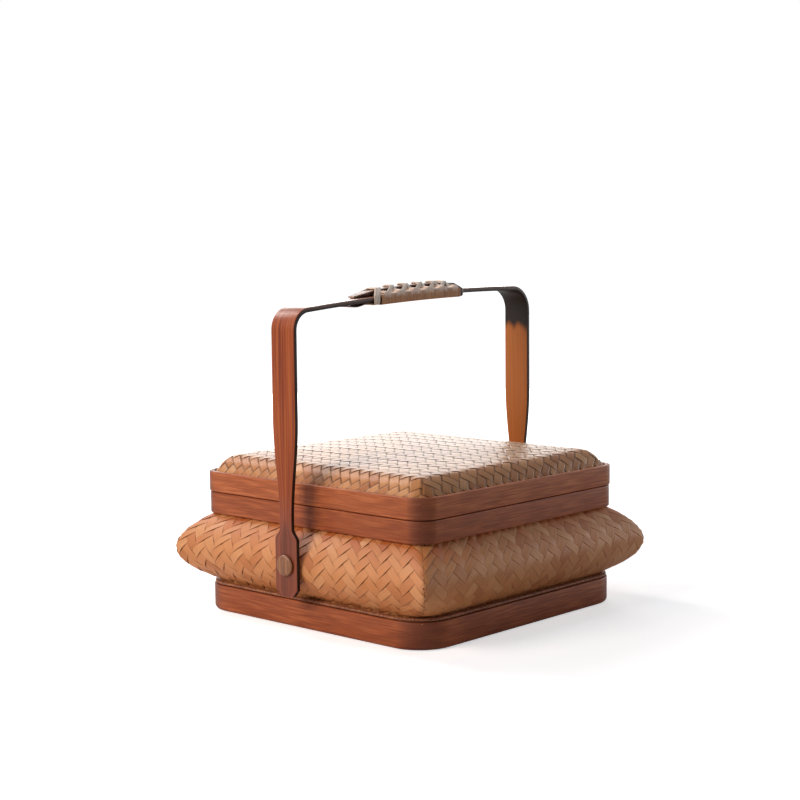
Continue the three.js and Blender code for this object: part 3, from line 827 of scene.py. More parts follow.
def float_tree() -> Tree:
    """Builds the tree that plaits a surface in a twill of two over and two under.

    Its geometry input is the surface, with a map named flat in metres. Each visible float is one
    splint that rises over two others and dips under the next at both ends.

    Returns:
        The tree.
    """
    add, given = start_tree("plait", {
        "Geometry": ("Surface",),
        "Int": ("Columns", "Rows", "First", "Lines", "Seed"),
        "Float": ("Column pitch", "Row pitch", "Width", "Length", "Thickness", "Arch", "Lean", "Wander",
                  "Roll"),
        "Vector": ("Start",),
        "Material": ("Splint",),
    })

    # Places of the floats on the flat plait. Every second column starts half a pitch higher.
    total = add("ShaderNodeMath", [given["Columns"], given["Rows"]], operation="MULTIPLY")
    index = add("GeometryNodeInputIndex")
    column = add("ShaderNodeMath", [index, given["Columns"]], operation="MODULO")
    share = add("ShaderNodeMath", [index, given["Columns"]], operation="DIVIDE")
    row = add("ShaderNodeMath", [share], operation="FLOOR")
    number = add("ShaderNodeMath", [column, given["First"]])
    odd = add("ShaderNodeMath", [number, 2.0], operation="MODULO")
    raised = add("ShaderNodeMath", [odd, 0.5, row], operation="MULTIPLY_ADD")
    u = add("ShaderNodeMath", [column, given["Column pitch"]], operation="MULTIPLY")
    v = add("ShaderNodeMath", [raised, given["Row pitch"]], operation="MULTIPLY")
    local = add("ShaderNodeCombineXYZ", [u, v])
    flat = add("ShaderNodeVectorMath", [local, given["Start"]])
    points = add("GeometryNodePoints", {"Count": total, "Position": flat})

    # Floats of the same splint share a tone. A splint climbs a row for each column that it crosses.
    sign = add("ShaderNodeMath", [odd, -2.0, 1.0], operation="MULTIPLY_ADD")
    across = add("ShaderNodeMath", [column, sign], operation="MULTIPLY")
    offset = add("ShaderNodeMath", [raised, across], operation="SUBTRACT")
    splint = add("ShaderNodeMath", [sign, 500.25, offset], operation="MULTIPLY_ADD")
    whole = add("ShaderNodeMath", [splint], operation="ROUND")
    splint_tone = add("FunctionNodeRandomValue", {"ID": whole, "Seed": given["Seed"]}, data_type="FLOAT")
    float_tone = add("FunctionNodeRandomValue", {"Seed": given["Seed"]}, data_type="FLOAT")
    tone = add("ShaderNodeMix", {0: 0.35, 2: splint_tone, 3: float_tone}, data_type="FLOAT")
    marked = points
    for name, value in (("tone", tone), ("slope", sign)):
        marked = add("GeometryNodeStoreNamedAttribute", {"Geometry": marked, "Name": name, "Value": value},
                     data_type="FLOAT", domain="POINT")

    # One float: a thin slab, finer along than across, arched along and eased at its sides.
    length = add("ShaderNodeMath", [given["Length"], 0.5], operation="MULTIPLY")
    size = add("ShaderNodeCombineXYZ", [given["Length"], given["Width"], given["Thickness"]])
    slab = add("GeometryNodeMeshCube",
               {"Size": size, "Vertices X": given["Lines"], "Vertices Y": 4, "Vertices Z": 2})
    here = add("GeometryNodeInputPosition")
    place = add("ShaderNodeSeparateXYZ", [here]).outputs
    run = add("ShaderNodeMath", [place["X"], length], operation="DIVIDE")
    run_size = add("ShaderNodeMath", [run], operation="ABSOLUTE")
    dip = add("ShaderNodeMath", [run_size, 2.5], operation="POWER")
    arch = add("ShaderNodeMath", [dip, -2.0, 1.0], operation="MULTIPLY_ADD")
    lift = add("ShaderNodeMath", [arch, given["Arch"]], operation="MULTIPLY")
    # The inner two of the four lines along a float move out, next to its sides.
    edge = add("ShaderNodeMath", [place["Y"], given["Width"]], operation="DIVIDE")
    edge_size = add("ShaderNodeMath", [edge], operation="ABSOLUTE")
    middle = add("ShaderNodeMath", [edge_size, 0.3], operation="LESS_THAN")
    spread = add("ShaderNodeMath", [middle, 1.25, 1.0], operation="MULTIPLY_ADD")
    wide = add("ShaderNodeMath", [place["Y"], spread], operation="MULTIPLY")
    outer = add("ShaderNodeMath", [1.0, middle], operation="SUBTRACT")
    ease = add("ShaderNodeMath", [outer, -0.12 * MM, lift], operation="MULTIPLY_ADD")
    level = add("ShaderNodeMath", [place["Z"], ease])
    shaped = add("ShaderNodeCombineXYZ", [place["X"], wide, level])
    bent = add("GeometryNodeSetPosition", {"Geometry": slab, "Position": shaped})
    grained = add("GeometryNodeStoreNamedAttribute", {"Geometry": bent, "Name": "grain", "Value": here},
                  data_type="FLOAT_VECTOR", domain="POINT")
    fold = add("GeometryNodeInputMeshEdgeAngle")
    keen = add("FunctionNodeCompare", [fold, math.radians(50)], operation="GREATER_THAN")
    creased = add("GeometryNodeSetShadeSmooth",
                  {"Geometry": grained, "Selection": keen, "Shade Smooth": False}, domain="EDGE")

    # The floats lean one way in a column and the other way in the next, and each strays a little.
    stray = add("FunctionNodeRandomValue", {2: -1.0, 3: 1.0, "Seed": given["Seed"]}, data_type="FLOAT")
    drift = add("ShaderNodeMath", [stray, given["Wander"]], operation="MULTIPLY")
    angle = add("ShaderNodeMath", [sign, given["Lean"], drift], operation="MULTIPLY_ADD")
    # A rising splint lies on the edge of the one beside it, so it rolls about its own length.
    roll = add("ShaderNodeMapRange", [sign, -1.0, 1.0, 0.0, given["Roll"]])
    turn = add("ShaderNodeCombineXYZ", {0: roll, 2: angle})
    rotation = add("FunctionNodeEulerToRotation", [turn])
    laid = add("GeometryNodeInstanceOnPoints", {"Points": marked, "Instance": creased, "Rotation": rotation})
    real = add("GeometryNodeRealizeInstances", {"Geometry": laid})

    # The flat plait is laid on the surface, its height along the surface's normal.
    flat_map = add("GeometryNodeInputNamedAttribute", {"Name": "flat"}, data_type="FLOAT_VECTOR")
    now = add("GeometryNodeInputPosition")
    spot, normal = (
        add("GeometryNodeSampleUVSurface",
            {"Mesh": given["Surface"], "Source UV Map": flat_map, "Sample UV": now, "Value": value},
            data_type="FLOAT_VECTOR")
        for value in (now, add("GeometryNodeInputNormal"))
    )
    high = add("ShaderNodeSeparateXYZ", [now]).outputs["Z"]
    rise = add("ShaderNodeVectorMath", {0: normal, "Scale": high}, operation="SCALE")
    final = add("ShaderNodeVectorMath", [spot, rise])
    draped = add("GeometryNodeSetPosition", {"Geometry": real, "Position": final})
    dressed = add("GeometryNodeSetMaterial", {"Geometry": draped, "Material": given["Splint"]})
    return add("NodeGroupOutput", [dressed]).id_data


def bead_tree() -> Tree:
    """Builds the tree that lays plies of a twisted cord along a path, one after another.

    Returns:
        The tree. Its geometry input is a closed line of edges.
    """
    add, given = start_tree("twisted_bead", {
        "Geometry": ("Path",), "Int": ("Seed",), "Float": ("Spacing", "Slant"), "Vector": ("Ply",),
        "Material": ("Cane",),
    })
    curve = add("GeometryNodeMeshToCurve", {"Mesh": given["Path"]})
    points = add("GeometryNodeCurveToPoints", {"Curve": curve, "Length": given["Spacing"]}, mode="LENGTH")
    heading = add("FunctionNodeAlignRotationToVector", {"Vector": points.outputs["Tangent"]},
                  axis="X", pivot_axis="Z")
    slant = add("ShaderNodeCombineXYZ", {1: given["Slant"]})
    lean = add("FunctionNodeEulerToRotation", [slant])
    leaning = add("FunctionNodeRotateRotation", {"Rotation": heading, "Rotate By": lean},
                  rotation_space="LOCAL")
    ball = add("GeometryNodeMeshUVSphere", {"Segments": 8, "Rings": 6, "Radius": 0.5})
    ply = add("GeometryNodeTransform", {"Geometry": ball, "Scale": given["Ply"]})
    size = add("FunctionNodeRandomValue", {2: 0.9, 3: 1.06, "Seed": given["Seed"]}, data_type="FLOAT")
    tone = add("FunctionNodeRandomValue", {"Seed": given["Seed"]}, data_type="FLOAT")
    toned = add("GeometryNodeStoreNamedAttribute", {"Geometry": points, "Name": "tone", "Value": tone},
                data_type="FLOAT", domain="POINT")
    laid = add("GeometryNodeInstanceOnPoints",
               {"Points": toned, "Instance": ply, "Rotation": leaning, "Scale": size})
    real = add("GeometryNodeRealizeInstances", {"Geometry": laid})
    smooth = add("GeometryNodeSetShadeSmooth", {"Geometry": real})
    dressed = add("GeometryNodeSetMaterial", {"Geometry": smooth, "Material": given["Cane"]})
    return add("NodeGroupOutput", [dressed]).id_data


def run_tree(piece: Piece, tree: Tree, values: dict[str, Any]) -> None:
    """Runs a tree on a piece and keeps the result as its plain mesh.

    Args:
        piece: The object whose mesh is the tree's geometry input.
        tree: The tree.
        values: A value for each of the tree's named inputs.
    """
    modifier = piece.modifiers.new(tree.name, "NODES")
    modifier.node_group = tree
    for item in tree.interface.items_tree:
        if item.item_type == "SOCKET" and item.in_out == "INPUT" and item.name in values:
            modifier[item.identifier] = values[item.name]
    bake(piece)


def surface(name: str, u: Array, v: Array, place: Callable[..., Array]) -> Piece:
    """Makes an open surface with a map named flat, in metres.

    Args:
        name: The object's name.
        u: Flat places along the first axis.
        v: Flat places along the second.
        place: Gives the points in space for arrays of u and v.

    Returns:
        The surface. It faces along the first axis crossed with the second.
    """
    flat_u, flat_v = np.meshgrid(u, v)
    piece = mesh_object(name, place(flat_u, flat_v), grid_faces(len(v), len(u), False, False))
    layer = piece.data.uv_layers.new(name="flat")
    flat = np.stack([flat_u.ravel(), flat_v.ravel()], axis=-1)
    index = np.zeros(len(piece.data.loops), int)
    piece.data.loops.foreach_get("vertex_index", index)
    layer.data.foreach_set("uv", flat[index].astype(np.float32).ravel())
    piece.data.shade_smooth()
    return piece


@dataclass
class Plait:
    """A plaited sheet: its pattern, and the splints that it is made of."""

    name: str
    columns: int
    rows: int
    twill: Twill
    start: Pair
    seed: int
    splint: Material
    arch: float = 0.55 * MM
    thickness: float = 0.32 * MM
    fill: float = 0.965
    tuck: float = 0.42
    wander: float = 0.022
    lines: int = 10
    first: int = 0
    roll: float = 0.0

    def lay(self, base: Piece, tree: Tree) -> Piece:
        """Lays the plait on a surface.

        Args:
            base: The surface, which becomes the plait.
            tree: The tree that float_tree builds.

        Returns:
            The plait.
        """
        width = self.fill * self.twill.width
        run_tree(base, tree, {
            "Columns": self.columns, "Rows": self.rows, "First": self.first, "Lines": self.lines,
            "Seed": self.seed, "Column pitch": self.twill.column, "Row pitch": self.twill.row, "Width": width,
            "Length": 2 * (self.twill.reach + self.tuck * width), "Thickness": self.thickness,
            "Arch": self.arch, "Lean": self.twill.lean, "Wander": self.wander, "Roll": self.roll,
            "Start": (*self.start, 0.0), "Splint": self.splint,
        })
        return base


# The box


@dataclass
class Finishes:
    """One material for each finish of the box."""

    made: dict[str, Material] = field(default_factory=dict)

    def add(self, finish: SplintFinish | BandFinish | StickFinish) -> Material:
        """Builds the material of a finish, or finds it if it is there.

        Args:
            finish: The finish.

        Returns:
            Its material.
        """
        if finish.name not in self.made:
            self.made[finish.name] = finish.build()
        return self.made[finish.name]


# Spacing of the floats in the walls, on the lid and in the linings.
WALL_TWILL = Twill(10.88 * MM, 9.7 * MM)
LID_TWILL = Twill(9.9 * MM, 9.9 * MM)
LINING_TWILL = Twill(14.4 * MM, 14.4 * MM)

# How deep the floats, the dark sheet under them and the lining lie below the outer face of a skin.
FLOAT_DEPTH = 0.75 * MM
SHEET_DEPTHS = (1.42 * MM, 1.6 * MM)
LINING_DEPTH = 2.5 * MM

# Height of the axis on which the handle turns.
PIVOT_HEIGHT = 50.5 * MM

# Fibres in the cane: 17 mm long and 0.7 mm apart.
CANE_SCALE = (60.0, 1500.0, 0.0)

# Warm tan splints, each of its own tone, with brown seams of painted shadow and dirt, yellower under the rim
# with stain and painted shade.
WALL_SPLINT = SplintFinish(
    "stained_and_shaded_splints_of_the_walls", dark="b26a39", middle="c9834c", pale="d69a66", seam="4a2614",
    twill=WALL_TWILL, roughness=0.5, coat=0.03, gloss=0.4,
    stain_and_shade="ecc894", stain_shade_low=60 * MM, stain_shade_high=74 * MM,
    seam_rising=0.85, seam_falling=0.45, seam_end=0.28, seam_least=0.35, crease=0.45,
)
# The same splints, smoother with wear: painted shadow nearly black where their ends tuck under, and pale on
# top with wear and a painted sheen.
LID_SPLINT = SplintFinish(
    "lid_splints_with_wear_and_painted_sheen", dark="a86a3e", middle="c48754", pale="d8a270", seam="2c160d",
    twill=LID_TWILL, roughness=0.34, coat=0.0, ior=1.28,
    wear_sheen_colour="dcc8b0", wear_sheen_above=118 * MM, wear_sheen_depth=3 * MM, wear_sheen_share=0.5,
    seam_width=0.11, seam_rising=0.4, seam_end=0.95, tuck_start=0.72, seam_least=0.5,
)
# Paler and drier splints, which were never stained or lacquered.
LINING_SPLINT = SplintFinish(
    "raw_bamboo_splints_of_the_linings", dark="b58a58", middle="cba473", pale="dcbb8e", seam="5a3a20",
    twill=LINING_TWILL, roughness=0.55, coat=0.0,
)
# Red-brown boards with level grain and bends darkened by heat and painted shade, deeper in tone on the box
# than on the lid.
BOX_BAND = BandFinish("lacquered_bamboo_boards_of_the_box", dark="85401f", middle="a5562c", pale="b4673a")
LID_BAND = BandFinish("lacquered_bamboo_boards_of_the_lid", dark="914a26", middle="b56234", pale="c27442")
# Plain brown laths with a fine grain, out of sight in normal use.
BOARD = StickFinish(
    "planed_bamboo_lath", dark="7c5030", middle="a87650", pale="c0925f", scale=(16.0, 900.0, 900.0),
    mapped=False,
)
# The dull dark brown of painted shade that is seen between the floats and in the grip's hollows.
BACKING = StickFinish(
    "shadowed_undersides_of_splints", dark="2c170d", middle="3c2213", pale="4d2f1b",
    scale=(200.0, 200.0, 200.0), mapped=False, roughness=0.8, coat=0.0,
)
# A glowing red-brown with long grain, charred almost black where the strip was bent over the fire, with
# painted shade on its edges and low legs.
HANDLE = StickFinish(
    "heat_bent_bamboo_strip", dark="6e2c12", middle="9c4a20", pale="b8662e", scale=(9.0, 900.0, 0.0),
    scorch="17120f", flesh="bc7236", roughness=0.38, coat=0.03, gloss=0.25,
)
# Brown, close-grained pegs with a soft shine.
PEG = StickFinish(
    "turned_bamboo_peg", dark="623c24", middle="925c36", pale="ac784c", scale=(1400.0, 1400.0, 60.0),
    mapped=False, roughness=0.4, coat=0.2,
)
# Greyish brown cane with long fibres.
CANE = StickFinish(
    "peeled_rattan_splints", dark="7a5a48", middle="9c7a66", pale="c0a08a", scale=CANE_SCALE, roughness=0.4
)
# Golden brown cane with a pale painted highlight where it comes over the edge into the light.
FINE_CANE = StickFinish(
    "smoked_fine_rattan_winding", dark="905c34", middle="b87c48", pale="d29c62", scale=CANE_SCALE,
    flesh="f6dcc8", roughness=0.5, coat=0.1,
)
# Nearly white cane, which stands out from what it ties.
TIE = StickFinish(
    "pale_rattan_ties", dark="cab098", middle="ecdac8", pale="fff2e6", scale=CANE_SCALE, roughness=0.4,
    coat=0.2,
)
# Cane that smoking and handling have turned nearly black.
DARK_TIE = StickFinish(
    "darkened_rattan_tie", dark="2a1a14", middle="3d2820", pale="55392c", scale=CANE_SCALE,
    roughness=0.45, coat=0.1,
)
# A cord mottled from dark to light brown.
BEAD = StickFinish(
    "twisted_rattan_cord", dark="683a22", middle="925634", pale="cf9364", scale=(700.0, 700.0, 700.0),
    mapped=False, roughness=0.5, coat=0.1,
)


def wall_surface(name: str, profile: Profile, length: float, facing: Facing) -> Piece:
    """Makes the surface of a box wall, unrolled once round, from the near right corner anticlockwise.

    Args:
        name: The object's name.
        profile: The wall's profile, from its foot up.
        length: Flat length of one turn.
        facing: The side that the surface faces.

    Returns:
        The surface, which runs on a little past both ends of the turn.
    """
    # Shares of a side: the cells are finest next to the crease, and finer in the bend than past it.
    crease, bend, overlap = 0.008, 0.07, 0.03
    side = np.concatenate([np.linspace(0, crease, 4)[:-1], np.linspace(crease, bend, 9)[:-1]])
    side = np.concatenate([side, np.linspace(bend, 1 - bend, 36), 1 - side[::-1]])[:-1]
    turn = np.concatenate([(side + k) / 4 for k in range(4)])
    turn = np.concatenate([turn[turn > 1 - overlap] - 1, turn, turn[turn < overlap] + 1])

    def place(u: Array, v: Array) -> Array:
        """Bends flat places round the wall.

        Args:
            u: Distances round the wall.
            v: Distances up its profile.

        Returns:
            The points in space.
        """
        share = facing.value * u / length
        ring = profile.at(v)
        xy = ring_xy(ring.half, ring.corner, station_at(ring.half, ring.corner, share - np.floor(share)))
        return np.dstack([xy, ring.z])

    run = profile.along()[-1]
    heights = np.linspace(0.0, run, max(int(run / (1.8 * MM)), 8))
    return surface(name, np.sort(turn) * length, heights, place)


def dome_surface(name: str, profile: Profile, facing: Facing, cell: float = 2.2 * MM) -> Piece:
    """Makes the surface of a domed square sheet. Its flat first axis is Y and its second is -X.

    Args:
        name: The object's name.
        profile: The dome's profile, from its middle out.
        facing: The side that the surface faces.
        cell: Size of its cells.

    Returns:
        The surface.
    """
    reach = float(profile.along()[-1])
    flat = np.linspace(-reach, reach, 2 * int(reach / cell) + 1)

    def place(u: Array, v: Array) -> Array:
        """Lifts flat places onto the dome, each to the square ring that it lies on.

        Args:
            u: Places along Y.
            v: Places along -X.

        Returns:
            The points in space.
        """
        x, y = -v, facing.value * u
        level = np.maximum(np.abs(x), np.abs(y))
        ring = profile.at(level)
        half, corner = np.maximum(ring.half, 1e-6), np.minimum(ring.corner, ring.half)
        quarter = np.round(np.arctan2(y, x) / (math.pi / 2)) % 4
        across = x * np.sin(-quarter * math.pi / 2) + y * np.cos(-quarter * math.pi / 2)
        share = (quarter + 0.5 * (across / np.maximum(level, 1e-9) + 1)) / 4
        return np.dstack([ring_xy(half, corner, station_at(half, corner, share)), ring.z])

    return surface(name, flat, flat, place)


def sheet_between(name: str, outer: Profile, inner: Profile, open_ends: bool = True) -> Piece:
    """Makes a closed shell between two profiles, as a ring with open ends or as a cap.

    Args:
        name: The object's name.
        outer: The profile of its outer face.
        inner: The profile of its inner face.
        open_ends: Whether it is a ring. If not, its first rings close over the middle.

    Returns:
        The object.
    """
    stations = ring_stations(5, 12)
    rings = [*zip(outer.half, outer.corner, outer.z), *[*zip(inner.half, inner.corner, inner.z)][::-1]]
    halves = [max(half, 1 * MM) for half, _, _ in rings]
    rows = [level_ring(half, min(corner, half), z, stations) for half, (_, corner, z) in zip(halves, rings)]
    return loft(name, np.array(rows), closed_rows=open_ends)


@dataclass
class BoxBody:
    """The foot, the bellied walls with their lining and floor, the rim, and the pegs."""

    finishes: Finishes
    plait_tree: Tree
    bead_tree: Tree
    foot_half: float = 117 * MM
    foot_height: float = 20 * MM
    foot_wall: float = 6 * MM
    foot_corner: float = 29 * MM
    foot_round: float = 3 * MM
    neck_half: float = 110.7 * MM
    belly_half: float = 130.6 * MM
    belly_height: float = 48.5 * MM
    belly_corner: float = 2.5 * MM
    belly_bottom: float = 22.9 * MM
    belly_top: float = 74.8 * MM
    bottom_corner: float = 22.7 * MM
    top_corner: float = 12.3 * MM
    lower_fullness: float = 2.15
    upper_fullness: float = 1.75
    ridge_law: float = 4.0
    rim_half: float = 114.4 * MM
    rim_corner: float = 16 * MM
    rim_wall: float = 3.4 * MM
    rim_levels: Pair = (75.1 * MM, 91.4 * MM)
    lip_half: float = 108.8 * MM
    lip_corner: float = 10.4 * MM
    lip_wall: float = 2.5 * MM
    lip_levels: Pair = (77.2 * MM, 98.0 * MM)
    floor_low: float = 17.2 * MM
    floor_high: float = 19.4 * MM
    floor_half: float = 108.8 * MM
    floor_corner: float = 20.8 * MM
    floor_float: float = 0.6 * MM
    cord_inset: float = 1.75 * MM
    ply_size: Triple = (5.0 * MM, 2.2 * MM, 1.5 * MM)
    ply_spacing: float = 2.4 * MM
    ply_slant: float = 24.0
    pivot: float = PIVOT_HEIGHT
    peg_radius: float = 4.0 * MM
    head_radius: float = 7.75 * MM
    head_depth: float = 2.4 * MM
    key_gap: float = 0.3 * MM

    def profile(self, spare_low: float, spare_high: float) -> Profile:
        """Draws the skin's outer profile, with upright ends behind the bands.

        Args:
            spare_low: How far the lower end reaches on.
            spare_high: How far the upper end reaches on.

        Returns:
            The profile, from its foot up.
        """
        low, high = np.linspace(1, 0, 15)[:-1], np.linspace(0, 1, 15)
        half, corner, z = [self.neck_half], [self.bottom_corner], [self.belly_bottom - spare_low]
        for share, fullness, end_corner, end in (
            (low, self.lower_fullness, self.bottom_corner, self.belly_bottom),
            (high, self.upper_fullness, self.top_corner, self.belly_top),
        ):
            half += [*(self.neck_half + (self.belly_half - self.neck_half) * (1 - share**fullness))]
            corner += [*(self.belly_corner + (end_corner - self.belly_corner) * share**self.ridge_law)]
            z += [*(self.belly_height + (end - self.belly_height) * share)]
        half.append(self.neck_half)
        corner.append(self.top_corner)
        z.append(self.belly_top + spare_high)
        return Profile(np.array(half), np.array(corner), np.array(z))

    def walls(self) -> None:
        """Plaits the walls outside, over a dark sheet, and lines them inside."""
        backing = self.finishes.add(BACKING)
        spare = 14 * MM
        outside = self.profile(spare, spare)
        plait = Plait(
            "box_skin_plait", 96, 8, WALL_TWILL, (WALL_TWILL.column / 2, spare - 3.6 * MM), 11,
            self.finishes.add(WALL_SPLINT), arch=0.36 * MM, fill=0.99, lines=14, wander=0.025, roll=-0.06,
        )
        turn = plait.columns * WALL_TWILL.column
        base = wall_surface(plait.name, outside.inset(FLOAT_DEPTH), turn, Facing.OUT)
        finish_piece(plait.lay(base, self.plait_tree), Body.BOX, Slot.SKIN, replaces=["box_skin"])
        core = sheet_between("box_skin_backing", *(outside.inset(depth) for depth in SHEET_DEPTHS))
        finish_piece(core, Body.BOX, Slot.SKIN, backing, replaces=["box_skin"])

        # The lining ends a little below and above the belly, in the bands.
        inside = self.profile(2.5 * MM, 1.8 * MM)
        lining = Plait(
            "box_lining_plait", 72, 7, LINING_TWILL, (7.2 * MM, 15.0 * MM), 23,
            self.finishes.add(LINING_SPLINT), arch=0.4 * MM, thickness=0.25 * MM,
        )
        # The surface runs on past the lining's edges, so that every float that shows lies on it.
        turn = lining.columns * LINING_TWILL.column
        base = wall_surface(lining.name, self.profile(26 * MM, 38 * MM).inset(LINING_DEPTH), turn, Facing.IN)
        inner = lining.lay(base, self.plait_tree)
        trim(inner, inside.z[0], inside.z[-1])
        finish_piece(inner, Body.BOX, Slot.LINING, replaces=["box_lining"])
        shell = sheet_between("box_lining_backing", inside.inset(1.65 * MM), inside.inset(1.85 * MM))
        finish_piece(shell, Body.BOX, Slot.LINING, backing, replaces=["box_lining"])

    def floor(self) -> None:
        """Plaits the floor above and below a dark sheet."""
        raw = self.finishes.add(LINING_SPLINT)
        stations = ring_stations(8, 4)
        rows = [
            level_ring(self.floor_half, self.floor_corner, self.floor_low + depth, stations)
            for depth in (0.9 * MM, 1.3 * MM)
        ]
        sheet = loft("floor_backing", np.array(rows), closed_rows=False)
        finish_piece(sheet, Body.BOX, Slot.LINING, self.finishes.add(BACKING), replaces=["floor_mat"])
        levels = np.array([0.0, self.floor_half + 20 * MM])
        for name, z, facing, seed in (
            ("floor_plait_above", self.floor_high - self.floor_float, Facing.OUT, 31),
            ("floor_plait_below", self.floor_low + self.floor_float, Facing.IN, 37),
        ):
            flat = Profile(levels, levels * 0 + 0.1 * MM, levels * 0 + z)
            plait = Plait(
                name, 15, 15, LINING_TWILL, (-100.8 * MM, -104.4 * MM), seed, raw, arch=0.35 * MM,
                thickness=0.25 * MM,
            )
            sheet = plait.lay(dome_surface(name, flat, facing, 8 * MM), self.plait_tree)
            trim(sheet, -self.floor_half, self.floor_half, axes=(0, 1))
            finish_piece(sheet, Body.BOX, Slot.LINING, replaces=["floor_mat"])

    def bands(self) -> None:
        """Bends the foot's board, which is rounded below, the rim's board and its lip."""
        board = self.finishes.add(BOX_BAND)
        turns = [math.radians(15 * step) for step in range(7)]
        section = [(self.foot_round * (1 - math.sin(a)), self.foot_round * (1 - math.cos(a))) for a in turns]
        upper = rounded_section(self.foot_wall, 0.0, self.foot_height)
        section += [point for point in upper if point[1] > self.foot_height / 2]
        section.append((self.foot_wall, 0.0))
        rim = rounded_section(self.rim_wall, *self.rim_levels)
        lip = rounded_section(self.lip_wall, *self.lip_levels)
        for name, half, corner, outline, slot, node in (
            ("foot_board", self.foot_half, self.foot_corner, section, Slot.BAND, "foot_band"),
            ("rim_board", self.rim_half, self.rim_corner, rim, Slot.BAND, "rim_band"),
            ("rim_lip_board", self.lip_half, self.lip_corner, lip, Slot.BOARD, "rim_lip"),
        ):
            finish_piece(hoop(name, half, corner, outline), Body.BOX, slot, board, replaces=[node])

    def bead(self) -> None:
        """Lays the twisted cord on the foot's board, under the belly, and the seam behind it."""
        cane = self.finishes.add(BEAD)
        low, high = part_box("foot_bead")
        middle = (low.z + high.z) / 2
        inset = self.cord_inset
        path = level_ring(self.foot_half - inset, self.foot_corner - inset, middle, ring_stations(12, 30))
        cord = mesh_object("foot_cord", path, [], edges=[(k, (k + 1) % len(path)) for k in range(len(path))])
        run_tree(cord, self.bead_tree, {
            "Seed": 5, "Spacing": self.ply_spacing, "Slant": math.radians(self.ply_slant),
            "Ply": self.ply_size, "Cane": cane,
        })
        finish_piece(cord, Body.BOX, Slot.CANE, replaces=["foot_bead"])
        outline = ((0.1, -1.2), (0.1, 1.0), (2.5, 1.0), (2.5, -1.2))
        section = [(inset + x * MM, middle + y * MM) for x, y in outline]
        seam = hoop("foot_cord_seam", self.foot_half, self.foot_corner, section)
        finish_piece(seam, Body.BOX, Slot.CANE, cane, replaces=["foot_bead"])

    def pegs(self) -> None:
        """Turns the two pegs, each with a slot for its key, and dresses their keys and blocks."""
        material, board = self.finishes.add(PEG), self.finishes.add(BOARD)
        for name, side in (("front", -1), ("rear", 1)):
            tail, tip = sorted((abs(corner.y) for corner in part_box(f"peg_{name}")))
            head = tip - self.head_depth
            # The peg's radius at places along it, out to its low, domed head.
            outline = [
                (0.02 * MM, tail), (self.peg_radius - 0.6 * MM, tail), (self.peg_radius, tail + 0.6 * MM),
                (self.peg_radius, head), (7.2 * MM, head), (self.head_radius, head + 0.5 * MM),
                (self.head_radius, head + 1.2 * MM), (7.45 * MM, head + 1.9 * MM),
                (6.9 * MM, head + 2.25 * MM), (5.5 * MM, head + 2.38 * MM), (0.02 * MM, tip),
            ]
            turned = turn_round(f"turned_peg_{name}", [(r, side * y) for r, y in outline], self.pivot, 48)
            key_low, key_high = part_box(f"peg_key_{name}")
            gap = Vector((self.key_gap,) * 3)
            cut(turned, block("slot", key_low - gap, key_high + gap))
            finish_piece(turned, Body.BOX, Slot.PEG, material, replaces=[f"peg_{name}"])
            dress_node(f"peg_key_{name}", material)
            dress_node(f"peg_block_{name}", board)

    def build(self) -> None:
        """Makes every piece of the box."""
        self.walls()
        self.floor()
        self.bands()
        self.bead()
        self.pegs()
        for node in ("foot_hoop", "floor_batten_front", "floor_batten_rear"):
            dress_node(node, self.finishes.add(BOARD))


